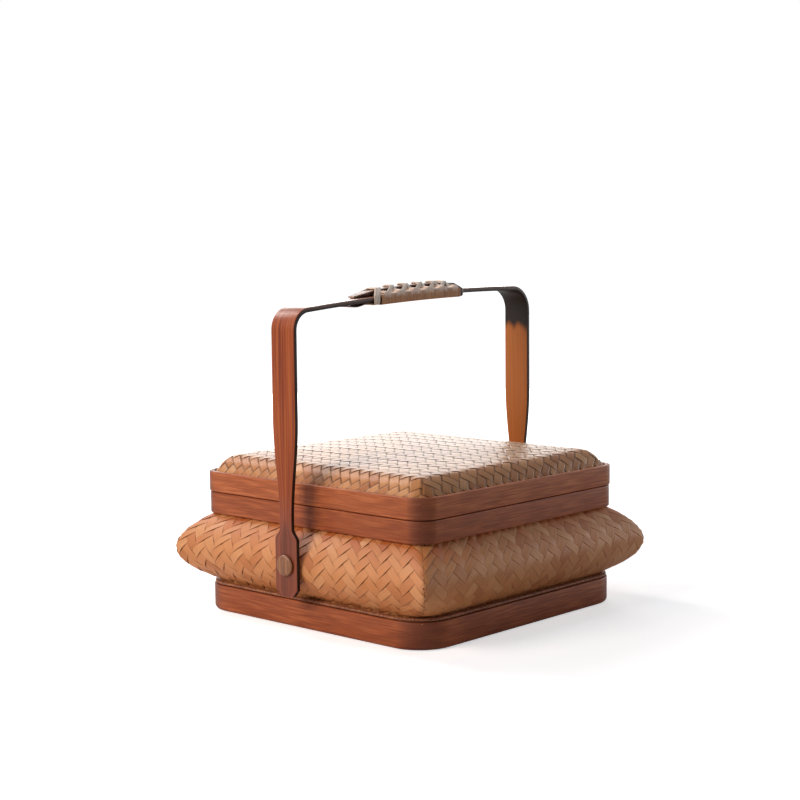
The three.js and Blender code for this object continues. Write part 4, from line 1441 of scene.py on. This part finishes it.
@dataclass
class LidBody:
    """The lid: its band and inner hoop, the plaited dome and the lining under it."""

    finishes: Finishes
    plait_tree: Tree
    half: float = 115.0 * MM
    corner: float = 16.6 * MM
    wall: float = 3.7 * MM
    bottom: float = 92.0 * MM
    top: float = 107.5 * MM
    edge_half: float = 109.5 * MM
    edge_z: float = 108.1 * MM
    shoulder_reach: float = 14.5 * MM
    shoulder_rise: float = 11.6 * MM
    shoulder_fullness: float = 1.88
    crown: float = 4.2 * MM
    skirt_half: float = 111.0 * MM
    skirt_corner: float = 12.6 * MM
    skirt_drop: float = 1.6 * MM
    skirt_step: float = 0.4 * MM
    shoulder_step: float = 1.5 * MM
    crease: float = 3 * MM
    hoop_wall: float = 2.2 * MM

    @property
    def peak(self) -> float:
        """Height of the dome's middle."""
        return self.edge_z + self.shoulder_rise + self.crown

    def profile(self, spare: float) -> Profile:
        """Draws the dome's outer profile from its middle out and down behind the band.

        Args:
            spare: How far it reaches on down.

        Returns:
            The profile.
        """
        flat_half = self.edge_half - self.shoulder_reach
        share, down = np.linspace(0, 1, 14), np.linspace(0, 1, 16)[1:]
        flat_corner = self.crease * np.clip((share - 0.8) / 0.2, 0, 1)
        widening = self.skirt_corner - self.shoulder_step - self.crease
        shoulder_corner = self.crease + widening * down**1.5
        shoulder_z = self.edge_z + self.shoulder_rise * (1 - down**self.shoulder_fullness)
        skirt_z = self.edge_z - self.skirt_drop
        return Profile(
            np.array([*(flat_half * share), *(flat_half + self.shoulder_reach * down),
                      self.skirt_half - self.skirt_step, self.skirt_half]),
            np.array([*flat_corner, *shoulder_corner,
                      self.skirt_corner - self.skirt_step, self.skirt_corner]),
            np.array([*(self.peak - self.crown * share**2), *shoulder_z, skirt_z, skirt_z - spare]),
        )

    def build(self) -> None:
        """Makes every piece of the lid."""
        board = self.finishes.add(LID_BAND)
        band = hoop("lid_board", self.half, self.corner, rounded_section(self.wall, self.bottom, self.top))
        finish_piece(band, Body.LID, Slot.BAND, board, replaces=["lid_band"])
        low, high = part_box("lid_hoop")
        section = rounded_section(self.hoop_wall, low.z, high.z, 0.5 * MM)
        inner = hoop("lid_inner_hoop", high.x, self.skirt_corner - (self.skirt_half - high.x), section)
        finish_piece(inner, Body.LID, Slot.BOARD, board, replaces=["lid_hoop"])

        dome = self.profile(13.2 * MM)
        plait = Plait(
            "lid_skin_plait", 24, 25, LID_TWILL, (-113.85 * MM, -119.95 * MM), 7,
            self.finishes.add(LID_SPLINT), arch=0.5 * MM, fill=0.99, first=1,
        )
        # The surface runs on past the skirt, so that every float that shows lies on it.
        base = dome_surface(plait.name, self.profile(20 * MM).inset(-FLOAT_DEPTH), Facing.OUT)
        skin = plait.lay(base, self.plait_tree)
        trim(skin, dome.z[-1], self.peak)
        finish_piece(skin, Body.LID, Slot.SKIN, replaces=["lid_skin"])
        outer, inner = (dome.inset(-depth) for depth in SHEET_DEPTHS)
        core = sheet_between("lid_skin_backing", outer, inner, open_ends=False)
        finish_piece(core, Body.LID, Slot.SKIN, self.finishes.add(BACKING), replaces=["lid_skin"])
        lining = Plait(
            "lid_lining_plait", 16, 16, LINING_TWILL, (-108 * MM, -111.6 * MM), 41,
            self.finishes.add(LINING_SPLINT), arch=0.35 * MM, thickness=0.25 * MM,
        )
        base = dome_surface(lining.name, self.profile(16 * MM).inset(-LINING_DEPTH), Facing.IN, 3 * MM)
        under = lining.lay(base, self.plait_tree)
        trim(under, self.profile(2.0 * MM).z[-1], self.peak)
        finish_piece(under, Body.LID, Slot.LINING, replaces=["lid_lining"])


# The handle


def lengthwise_map(outline: Sequence[Pair], run: Array) -> Array:
    """Maps a lofted strip along its length and round its section.

    Args:
        outline: Points of its section.
        run: Distance of each section along the strip.

    Returns:
        The map that loft takes.
    """
    across = run_along(np.array([*outline, outline[0]]))
    return np.stack(np.meshgrid(across, np.append(run, run[-1])), axis=-1)[..., ::-1]


@dataclass
class Handle:
    """The bent strip, with a bore in each pad, and the grip bound to its top."""

    finishes: Finishes
    leg_y: float = 133.0 * MM
    thickness: float = 3.5 * MM
    width: float = 23.5 * MM
    edge: float = 0.75 * MM
    pivot: float = PIVOT_HEIGHT
    bore_radius: float = 4.3 * MM
    front_height: float = 233.6 * MM
    rear_height: float = 242 * MM
    crown: float = 4 * MM
    front_radius: float = 14.5 * MM
    rear_radius: float = 19 * MM
    pad_width: float = 22.4 * MM
    pad_drop: float = 23 * MM
    pad_end: float = 13 * MM
    pad_chamfer: float = 5.5 * MM
    pad_rise: float = 19.5 * MM
    shoulder: float = 6 * MM
    waist_width: float = 12.3 * MM
    waist: float = 8 * MM
    taper: float = 72 * MM
    dark_below: float = 105 * MM
    dark_fade: float = 28 * MM
    front_burn: float = 16 * MM
    rear_burn: float = 21 * MM
    sheen_polish_fade: float = 20 * MM
    leg_points: int = 100
    bend_points: int = 17

    def bar(self, y: Array | float) -> Array | float:
        """Finds the height of the bar, which rises to the rear and bows upwards.

        Args:
            y: The place or places along Y.

        Returns:
            The height of the middle of the strip there.
        """
        share = (y + self.leg_y) / (2 * self.leg_y)
        line = self.front_height + (self.rear_height - self.front_height) * share
        return line + self.crown * (1 - (y / self.leg_y) ** 2)

    def leg_width(self, z: Array) -> Array:
        """Finds the width of a leg.

        Args:
            z: Heights.

        Returns:
            The width at each height.
        """
        end, pad_top = self.pivot - self.pad_drop, self.pivot + self.pad_rise
        waist_low = pad_top + self.shoulder
        marks = [end, end + self.pad_chamfer, pad_top, waist_low, waist_low + self.waist]
        widths = [self.pad_end, self.pad_width, self.pad_width, self.waist_width, self.waist_width]
        share = np.clip((z - marks[-1]) / self.taper, 0, 1)
        upper = self.waist_width + (self.width - self.waist_width) * share**2 * (3 - 2 * share)
        return np.where(z > marks[-1], upper, np.interp(z, marks, widths))

    def bend(self, side: int) -> Array:
        """Finds the points round a bend.

        Args:
            side: -1 for the front bend and 1 for the rear one.

        Returns:
            Y and Z of each point, from the leg to the top.
        """
        radius = self.front_radius if side < 0 else self.rear_radius
        corner = np.array([side * self.leg_y, self.bar(side * self.leg_y)])
        inside = side * (self.leg_y - radius)
        slope = np.array([inside, self.bar(inside)]) - corner
        slope /= np.linalg.norm(slope)
        turn = math.pi - math.acos(-slope[1])
        centre = corner - np.array([side * radius, radius * math.tan(turn / 2)])
        angle = np.linspace(0, turn, self.bend_points)
        return centre + radius * np.column_stack([side * np.cos(angle), np.sin(angle)])

    def route(self) -> tuple[Array, Array]:
        """Follows the middle of the strip, from the front pad over the bar to the rear pad.

        Returns:
            Y and Z of each point, and the strip's width there.
        """
        legs, widths = [], []
        for side in (-1, 1):
            arc = self.bend(side)
            end = self.pivot - self.pad_drop
            z = np.append(np.linspace(end, arc[0, 1], self.leg_points)[:-1], end + self.pad_chamfer)
            z = np.unique(z)
            legs.append(np.vstack([np.column_stack([np.full(len(z), side * self.leg_y), z]), arc]))
            widths.append(np.append(self.leg_width(z), np.full(len(arc), self.width)))
        y = np.linspace(legs[0][-1, 0], legs[1][-1, 0], 60)[1:-1]
        points = np.vstack([legs[0], np.column_stack([y, self.bar(y)]), legs[1][::-1]])
        return points, np.concatenate([widths[0], np.full(len(y), self.width), widths[1][::-1]])

    def strip(self) -> None:
        """Bends the strip, bores its pads, and scorches the insides of its bends."""
        points, widths = self.route()
        tangent = np.gradient(points, axis=0)
        tangent /= np.linalg.norm(tangent, axis=1)[:, None]
        run = run_along(points)
        half, edge = self.thickness / 2, self.edge
        arc = [(math.cos(math.radians(a)), math.sin(math.radians(a))) for a in range(0, 91, 18)]
        rows, sections = [], []
        for (y, z), (ty, tz), width in zip(points, tangent, widths):
            wide, high = width / 2 - edge, half - edge
            quarter = [(wide + edge * c, high + edge * s) for c, s in arc]
            outline = quarter + [(-x, o) for x, o in quarter[::-1]]
            outline += [(-x, -o) for x, o in quarter] + [(x, -o) for x, o in quarter[::-1]]
            sections.append(outline)
            rows.append([(x, y - o * tz, z + o * ty) for x, o in outline])
        uv = lengthwise_map(sections[0], run)
        piece = loft("handle_strip_bent", np.array(rows), closed_rows=False, uv=uv)
        out = np.array([[o / half for _, o in section] for section in sections])
        wide = np.array([[abs(x) / (w / 2) for x, _ in section] for section, w in zip(sections, widths)])
        self.mark(piece, run, points[:, 1:], out, wide)
        rod = turn_round("bore", [(self.bore_radius, -0.15), (self.bore_radius, 0.15)], self.pivot, 32)
        cut(piece, rod)
        finish_piece(piece, Body.HANDLE, Slot.HANDLE, self.finishes.add(HANDLE), replaces=["handle_strip"])

    def mark(self, piece: Piece, run: Array, height: Array, out: Array,
             wide: Array) -> None:
        """Stores where the strip is charred, bared and polished, and where shade and sheen are painted.

        Args:
            piece: The strip.
            run: Distance of each section along the strip.
            height: Height of each section, as a column.
            out: For each point, from -1 on the inside of the bends to 1 on the outside.
            wide: For each point, from 0 in the middle of the strip to 1 at its edges.
        """
        bend = run[self.leg_points + self.bend_points // 2]
        front_bend, rear_bend = bend, run[-1] - bend
        inner = np.clip(0.5 - out / 2, 0, 1)
        near_rear = np.exp(-(((run - rear_bend) / self.rear_burn) ** 2))[:, None]
        near_front = np.exp(-(((run - front_bend) / self.front_burn) ** 2))[:, None]
        top = ((run > front_bend) & (run < rear_bend))[:, None]
        # The rear bend is charred right through, the front one inside alone.
        burn_and_shade = near_rear * (0.75 + 0.6 * inner) + near_front * 0.95 * inner
        # The edges all along and the bar's underside darken with charring and painted shade.
        burn_and_shade = np.maximum(burn_and_shade, 0.5 * np.clip((wide - 0.9) / 0.08, 0, 1) + 0.5 * (wide > 0.995))
        burn_and_shade = np.maximum(burn_and_shade, np.where(top, 0.15 + 0.5 * inner, 0.0))
        # The legs are darker towards the pads, with painted shade.
        low = np.clip((self.dark_below - height) / self.dark_fade, 0, 1)
        burn_and_shade = np.maximum(burn_and_shade, 0.44 * low * (out > 0))
        set_attribute(piece, "scorch", burn_and_shade)
        set_attribute(piece, "smoke", 0.7 * low * (out > 0))
        set_attribute(piece, "flesh", 0.75 * (out < -0.4) * (1 - top))
        # The bar's top face is polished smooth, and painted paler as a sheen.
        sheen_and_wear = np.clip(np.minimum(run - front_bend, rear_bend - run) / self.sheen_polish_fade, 0, 1)[:, None]
        set_attribute(piece, "polish", (out > 0.4) * sheen_and_wear)

    def build(self) -> None:
        """Makes the strip and its grip."""
        self.strip()
        Grip(self).build()


# Section of a flat cane, from -1 to 1 across and through it, domed on its outer side.
CANE_SECTION = (
    (1.0, -0.35), (1.0, 0.25), (0.72, 0.8), (0.25, 1.0), (-0.25, 1.0), (-0.72, 0.8), (-1.0, 0.25),
    (-1.0, -0.35), (-0.7, -1.0), (0.7, -1.0),
)


@dataclass
class Grip:
    """The splints bound to the handle's top, and the windings that bind them."""

    handle: Handle
    spine_width: float = 9 * MM
    spine_thickness: float = 1.2 * MM
    spine_edge: float = 0.5 * MM
    spine_front: float = -64 * MM
    spine_rear: float = 51 * MM
    spine_rise: float = 4.0 * MM
    core_width: float = 8 * MM
    core_front: float = -63 * MM
    core_rear: float = 46 * MM
    core_gap: float = 0.1 * MM
    middle_width: float = 8.4 * MM
    middle_thickness: float = 0.9 * MM
    middle_front: float = -61 * MM
    middle_rear: float = -42 * MM
    middle_low: float = 0.8 * MM
    middle_rise: float = 1.3 * MM
    middle_ease: float = 6 * MM
    under_width: float = 14 * MM
    under_thickness: float = 0.8 * MM
    under_front: float = -79 * MM
    under_rear: float = 52 * MM
    under_bound: float = -49.9 * MM
    under_bow: float = 1.8 * MM
    wind_front: float = -44.6 * MM
    wind_rear: float = 45.4 * MM
    wind_pitch: float = 1.5 * MM
    wind_edge: float = 1.6 * MM
    wind_front_ease: float = 5 * MM
    wind_rear_ease: float = 8 * MM
    fine_width: float = 1.42 * MM
    fine_thickness: float = 0.7 * MM
    fine_bend: float = 1.0 * MM
    tooth_pitch: float = 16 * MM
    tooth_place: float = -7 * MM
    tooth_rise: float = 1.8 * MM
    knots: tuple[float, ...] = (-23 * MM, -7 * MM, 9 * MM, 25 * MM, 37 * MM)
    tie_gap: float = 1.1 * MM
    tie_width: float = 2.0 * MM
    tie_thickness: float = 0.8 * MM
    tie_crossing: float = 0.6 * MM
    tie_bend: float = 1.6 * MM
    tie_end: float = 3.4 * MM
    collar_places: Pair = (-50.5 * MM, -47.5 * MM)
    collar_lean: float = 10 * MM
    collar_width: float = 2.9 * MM
    collar_thickness: float = 1.2 * MM
    rear_tie_place: float = 47.6 * MM
    rear_tie_width: float = 3.0 * MM
    splint_taper: float = 0.3
    taper_length: float = 12 * MM
    seat: float = 0.3 * MM

    def spine_height(self, y: float) -> float:
        """Height of the spine's upper face over the strip's upper face."""
        share = min(y / self.spine_front, 1) ** 3 if y < 0 else min(y / self.spine_rear, 1) ** 6
        return self.seat + self.spine_thickness + self.spine_rise * (1 - share)

    def middle_height(self, y: float) -> float:
        """Height of the middle splint's upper face over the strip's upper face."""
        share = min((y - self.middle_front) / self.middle_ease, 1)
        return self.seat + self.middle_low + self.middle_rise * math.sin(0.5 * math.pi * share)

    def edge_height(self, y: float) -> float:
        """Finds the height of the fine winding at the strip's sides. The ties pull it up into teeth.

        Args:
            y: The place along Y.

        Returns:
            The height over the strip's upper face, which sinks to nothing at both ends.
        """
        front, rear = (y - self.wind_front) / self.wind_front_ease, (self.wind_rear - y) / self.wind_rear_ease
        end = min(front, rear, 1)
        tooth = 0.5 + 0.5 * math.cos(2 * math.pi * (y - self.tooth_place) / self.tooth_pitch)
        return (self.wind_edge + self.tooth_rise * tooth**2) * math.sin(0.5 * math.pi * max(end, 0))

    def under_depth(self, y: float) -> float:
        """Finds the depth of the under splint's lower face below the strip's lower face.

        Args:
            y: The place along Y.

        Returns:
            The depth. In front of the winding the splint bows away from the strip.
        """
        share = (y - self.under_front) / (self.under_bound - self.under_front)
        bow = math.sin(math.pi * share) ** 2 if share < 1 else 0.0
        return self.seat + self.under_thickness + self.under_bow * bow

    def ribbon(self, name: str, front: float, rear: float, width: float, levels: Callable[[float], Pair],
               taper: float = 0.0) -> Piece:
        """Makes a flat splint along the grip.

        Args:
            name: The object's name.
            front: Its front end, along Y.
            rear: Its rear end.
            width: Its width.
            levels: Gives its lower and upper face over the strip's middle at a place along Y.
            taper: Share by which its ends narrow.

        Returns:
            The object.
        """
        ys = np.linspace(front, rear, 60)
        rows, sections = [], []
        for y in ys:
            low, high = levels(y)
            end = min(y - front, rear - y) / self.taper_length
            wide = width / 2 * (1 - taper * (1 - min(end, 1)) ** 2)
            edge = 0.35 * (high - low)
            outline = [(wide, low + edge), (wide, high - edge), (wide - edge, high), (-wide + edge, high),
                       (-wide, high - edge), (-wide, low + edge), (-wide + edge, low), (wide - edge, low)]
            sections.append(outline)
            rows.append([(x, y, self.handle.bar(y) + o) for x, o in outline])
        uv = lengthwise_map(sections[len(ys) // 2], ys)
        return loft(name, np.array(rows), closed_rows=False, uv=uv)

    def turn(self, outline: Sequence[Pair], radius: float, near: float, far: float, side: float,
             top: float | None = None) -> tuple[Array, Array]:
        """Bends one closed turn of cane round the strip.

        Args:
            outline: Corners of the turn, as X and height over the strip's middle, anticlockwise.
            radius: How far its corners are rounded.
            near: Its place along Y on the side at +X.
            far: Its place along Y on the side at -X.
            side: Height at which it leaves the sides.
            top: Its place along Y at its top, if that is another.

        Returns:
            The turn's points, and their normals.
        """
        rounded = []
        for k, corner in enumerate(outline):
            at = np.array(corner)
            before = at - np.array(outline[k - 1])
            after = np.array(outline[(k + 1) % len(outline)]) - at
            before, after = before / np.linalg.norm(before), after / np.linalg.norm(after)
            reach = radius * math.tan(math.acos(float(np.clip(before @ after, -1, 1))) / 2)
            for share in (0.0, 0.25, 0.5, 0.75, 1.0):
                bend = (1 - share) ** 2 * (at - reach * before) + 2 * share * (1 - share) * at
                rounded.append(bend + share**2 * (at + reach * after))
        closed = np.array([*rounded, rounded[0]])
        points = []
        for start, end in zip(closed[:-1], closed[1:]):
            count = max(int(np.linalg.norm(end - start) / (2.5 * MM)), 1)
            points += [start + (end - start) * k / count for k in range(count)]
        flat = np.array(points)
        tangent = np.roll(flat, -1, axis=0) - np.roll(flat, 1, axis=0)
        tangent /= np.linalg.norm(tangent, axis=1)[:, None]
        normal = np.column_stack([tangent[:, 1], np.zeros(len(flat)), -tangent[:, 0]])
        wide = flat[:, 0].max()
        along = far + (near - far) * (flat[:, 0] + wide) / (2 * wide)
        if top is not None:
            foot = np.where(flat[:, 0] > 0, near, far)
            lean = (flat[:, 1] - side) / (flat[:, 1].max() - side)
            along = np.where(lean > 0, foot + (top - foot) * lean, along)
        height = np.array([self.handle.bar(place) for place in along]) + flat[:, 1]
        return np.column_stack([flat[:, 0], along, height]), normal

    def low(self, y: float, distance: float) -> float:
        """Height of a turn's underside over the strip's middle."""
        return -self.handle.thickness / 2 - self.under_depth(y) - distance

    def fine_turn(self, y: float) -> Piece:
        """Makes one turn of the fine winding, with a painted highlight where it comes over the edge.

        Args:
            y: Its place along Y.

        Returns:
            The turn.
        """
        half = self.handle.thickness / 2
        distance = self.seat + self.tie_thickness + self.fine_thickness / 2
        wide, low, side = self.handle.width / 2 + distance, self.low(y, distance), half + self.edge_height(y)
        corners = [(-wide, low), (wide, low), (wide, side), (-wide, side)]
        points, normals = self.turn(corners, self.fine_bend, y, y, side)
        piece = self.strand("fine", points, normals, self.fine_width, self.fine_thickness)
        # A painted highlight pales the turn where it comes up over the strip's edge.
        over = (points[:, 2] - self.handle.bar(y) - half) / MM
        set_attribute(piece, "flesh", np.repeat(np.clip((over - 0.5) / 0.7, 0, 1), len(CANE_SECTION)))
        return piece

    def tie(self, near: float, top: float, far: float, crossing: float, width: float,
            thickness: float) -> Piece:
        """Makes one turn of a tie, which goes over the spine.

        Args:
            near: Its place along Y on the side at +X.
            top: Its place along Y over the spine.
            far: Its place along Y on the side at -X.
            crossing: How much higher it lies over the spine, where it crosses another.
            width: Its width.
            thickness: Its thickness.

        Returns:
            The turn.
        """
        half, distance = self.handle.thickness / 2, self.seat + thickness / 2
        wide, low, side = self.handle.width / 2 + distance, self.low(near, distance), half
        crest = half + self.spine_height(top) + distance + crossing
        narrow = self.spine_width / 2 - self.spine_edge
        corners = [(-wide, low), (wide, low), (wide, side), (narrow, crest), (-narrow, crest), (-wide, side)]
        points, normals = self.turn(corners, self.tie_bend, near, far, side, top)
        return self.strand("tie", points, normals, width, thickness)

    def strand(self, name: str, points: Array, normals: Array, width: float,
               thickness: float) -> Piece:
        """Makes a closed loop of flat cane.

        Args:
            name: The object's name.
            points: The middle of the cane.
            normals: Its outward direction at each point.
            width: Its width.
            thickness: Its thickness.

        Returns:
            The object.
        """
        tangent = np.roll(points, -1, axis=0) - np.roll(points, 1, axis=0)
        tangent -= normals * np.sum(tangent * normals, axis=1)[:, None]
        tangent /= np.linalg.norm(tangent, axis=1)[:, None]
        side = np.cross(tangent, normals)
        rows = np.array([
            [at + across * x * width / 2 + out * o * thickness / 2 for x, o in CANE_SECTION]
            for at, across, out in zip(points, side, normals)
        ])
        run = run_along(points)
        run = np.append(run, run[-1] + np.linalg.norm(points[0] - points[-1]))
        widths = [x * width / 2 for x, _ in CANE_SECTION] + [width / 2]
        uv = np.stack(np.meshgrid(widths, run), axis=-1)[..., ::-1]
        # Each loop reads another part of the pattern.
        return loft(name, rows, uv=uv + (points[0][1] * 31, 0))

    def splints(self) -> None:
        """Lays the splints along the bar: the bowed spine, its core, one between them and one below."""
        half = self.handle.thickness / 2
        for name, front, rear, width, levels, taper, finish, node in (
            ("grip_spine", self.spine_front, self.spine_rear, self.spine_width,
             lambda y: (half + self.spine_height(y) - self.spine_thickness, half + self.spine_height(y)),
             self.splint_taper, CANE, "grip_top_splint"),
            ("grip_under_strap", self.under_front, self.under_rear, self.under_width,
             lambda y: (-half - self.under_depth(y), -half - self.under_depth(y) + self.under_thickness),
             self.splint_taper, CANE, "grip_under_splint"),
            # The core is dark with painted shade, for the hollows under the spine.
            ("grip_core", self.core_front, self.core_rear, self.core_width,
             lambda y: (half + self.seat, half + self.spine_height(y) - self.spine_thickness - self.core_gap),
             0.0, BACKING, "grip_padding"),
            ("grip_middle_splint", self.middle_front, self.middle_rear, self.middle_width,
             lambda y: (half + self.middle_height(y) - self.middle_thickness, half + self.middle_height(y)),
             self.splint_taper, CANE, "grip_padding"),
        ):
            piece = self.ribbon(name, front, rear, width, levels, taper)
            finish_piece(piece, Body.HANDLE, Slot.CANE, self.handle.finishes.add(finish), replaces=[node])

    def windings(self) -> None:
        """Winds the fine cane round the splints, and ties it down with crossed strands."""
        count = int((self.wind_rear - self.wind_front) / self.wind_pitch)
        fine = [self.fine_turn(self.wind_front + self.wind_pitch * (k + 0.5)) for k in range(count)]
        ties = []
        for knot, offset in itertools.product(self.knots, (-self.tie_gap, self.tie_gap)):
            # Each knot has a level turn, and over it one that runs from the knot before to the next.
            place, top = knot + offset, knot + offset / 2
            front = knot - self.tooth_pitch + offset
            rear = min(knot + self.tooth_pitch, self.wind_rear - self.tie_end) + offset
            ties.append(self.tie(place, top, place, 0.0, self.tie_width, self.tie_thickness))
            ties.append(self.tie(front, top, rear, self.tie_crossing, self.tie_width, self.tie_thickness))
        collar = [
            self.tie(y, y + self.collar_lean, y, 0.0, self.collar_width, self.collar_thickness)
            for y in self.collar_places
        ]
        place = self.rear_tie_place
        rear_tie = self.tie(place, place, place, 0.0, self.rear_tie_width, self.collar_thickness)
        for name, pieces, finish, node in (
            ("grip_winding_turns", fine, FINE_CANE, "grip_winding"),
            ("grip_ties", ties, TIE, "grip_winding"),
            ("grip_front_collar", collar, TIE, "grip_collar_front"),
            ("grip_rear_tie", [rear_tie], DARK_TIE, "grip_collar_rear"),
        ):
            material = self.handle.finishes.add(finish)
            finish_piece(join(name, pieces), Body.HANDLE, Slot.CANE, material, replaces=[node])

    def build(self) -> None:
        """Makes every piece of the grip."""
        self.splints()
        self.windings()


# The studio


@dataclass(frozen=True)
class Lamp:
    """A soft square lamp: where it stands, what it faces, its side, its power and its sRGB colour."""

    name: str
    place: Triple
    aim: Triple
    size: float
    watts: float
    colour: str = "ffffff"

    def build(self) -> None:
        """Adds the lamp to the scene."""
        data = bpy.data.lights.new(self.name, "AREA")
        data.size = self.size
        data.energy = self.watts
        data.color = linear(self.colour)[:3]
        lamp = add_object(self.name, data)
        lamp.location = self.place
        lamp.rotation_euler = (Vector(self.aim) - Vector(self.place)).to_track_quat("-Z", "Y").to_euler()


LAMPS = (
    Lamp("key", (-0.4, -1.68, 1.0), (0.0, 0.0, 0.08), 0.85, 25.0, "fff2ea"),
    Lamp("sheen", (-1.3, -0.15, 1.4), (0.0, -0.05, 0.1), 0.6, 14.0, "fff6f2"),
    Lamp("back", (-1.17, 1.07, 0.5), (0.0, 0.0, 0.1), 1.0, 8.5),
    Lamp("side", (0.42, 1.5, 0.38), (0.1, 0.05, 0.08), 0.6, 5.5),
)


@dataclass
class Studio:
    """The camera at the photograph's angle, a pale floor, soft lamps and a white background."""

    azimuth: float = 42.65
    pitch: float = 5.88
    roll: float = -0.56
    place: Triple = (0.87654, -0.96294, 0.29378)
    focal_pixels: float = 1689.54
    picture: int = 800
    sensor: float = 36.0

    def camera(self) -> None:
        """Sets up the camera."""
        azimuth, pitch, roll = (math.radians(a) for a in (self.azimuth, self.pitch, self.roll))
        level = math.cos(pitch)
        forward = Vector((-math.sin(azimuth) * level, math.cos(azimuth) * level, -math.sin(pitch)))
        right = Vector((math.cos(azimuth), math.sin(azimuth), 0.0))
        up = right.cross(forward)
        x = right * math.cos(roll) + up * math.sin(roll)
        y = -right * math.sin(roll) + up * math.cos(roll)
        data = bpy.data.cameras.new("camera")
        data.sensor_width = self.sensor
        data.lens = self.sensor * self.focal_pixels / self.picture
        data.clip_start = 0.02
        camera = add_object("camera", data)
        rows = [(x[i], y[i], -forward[i], self.place[i]) for i in range(3)]
        camera.matrix_world = Matrix([*rows, (0.0, 0.0, 0.0, 1.0)])
        bpy.context.scene.camera = camera

    def world(self) -> None:
        """Lights the scene from all round, and shows white to the camera and in reflections."""
        world = bpy.data.worlds.new("soft_surroundings")
        bpy.context.scene.world = world
        world.use_nodes = True
        world.node_tree.nodes.clear()
        add = partial(add_node, world.node_tree)
        path = add("ShaderNodeLightPath").outputs
        seen = add("ShaderNodeMath", [path["Is Camera Ray"], path["Is Glossy Ray"]], operation="MAXIMUM")
        clear = add("ShaderNodeMath", [seen, path["Is Transmission Ray"]], operation="MAXIMUM")
        light = add("ShaderNodeBackground", [linear("c8def8"), 0.15])
        white = add("ShaderNodeBackground", [linear("ffffff"), 1.0])
        add("ShaderNodeOutputWorld", {0: add("ShaderNodeMixShader", [clear, light, white])})

    def floor(self) -> None:
        """Lays a matt white floor that the camera sees lifted to white outside the shadow."""
        points = np.array([(-6, -6, 0), (6, -6, 0), (6, 6, 0), (-6, 6, 0)], float)
        floor = mesh_object("studio_floor", points - (0, 0, 0.2 * MM), [[0, 1, 2, 3]])
        material = bpy.data.materials.new("matt_white_paper")
        material.use_nodes = True
        add = partial(add_node, material.node_tree)
        path = add("ShaderNodeLightPath")
        place = add("ShaderNodeTexCoord")
        reach = add("ShaderNodeVectorMath", [place.outputs["Object"]], operation="LENGTH")
        glow = add("ShaderNodeMapRange", [reach, 0.2, 1.2, 0.55, 1.0], interpolation_type="SMOOTHSTEP")
        lift = add("ShaderNodeMath", [path.outputs["Is Camera Ray"], glow], operation="MULTIPLY")
        set_inputs(material.node_tree.nodes["Principled BSDF"], {
            "Base Color": linear("f0f0f0"), "Roughness": 0.9, "Specular IOR Level": 0.2,
            "Emission Color": linear("ffffff"), "Emission Strength": lift,
        })
        floor.data.materials.append(material)

    def build(self) -> None:
        """Makes the camera, the world, the floor and the lamps."""
        self.camera()
        self.world()
        self.floor()
        for lamp in LAMPS:
            lamp.build()
        bpy.context.scene.view_settings.view_transform = "Standard"


def main() -> None:
    """Builds the studio and the three bodies."""
    logging.basicConfig(level=logging.INFO, format="%(name)s: %(message)s")
    Studio().build()
    finishes = Finishes()
    plait = float_tree()
    BoxBody(finishes, plait, bead_tree()).build()
    LidBody(finishes, plait).build()
    Handle(finishes).build()


if __name__ == "__main__":
    main()
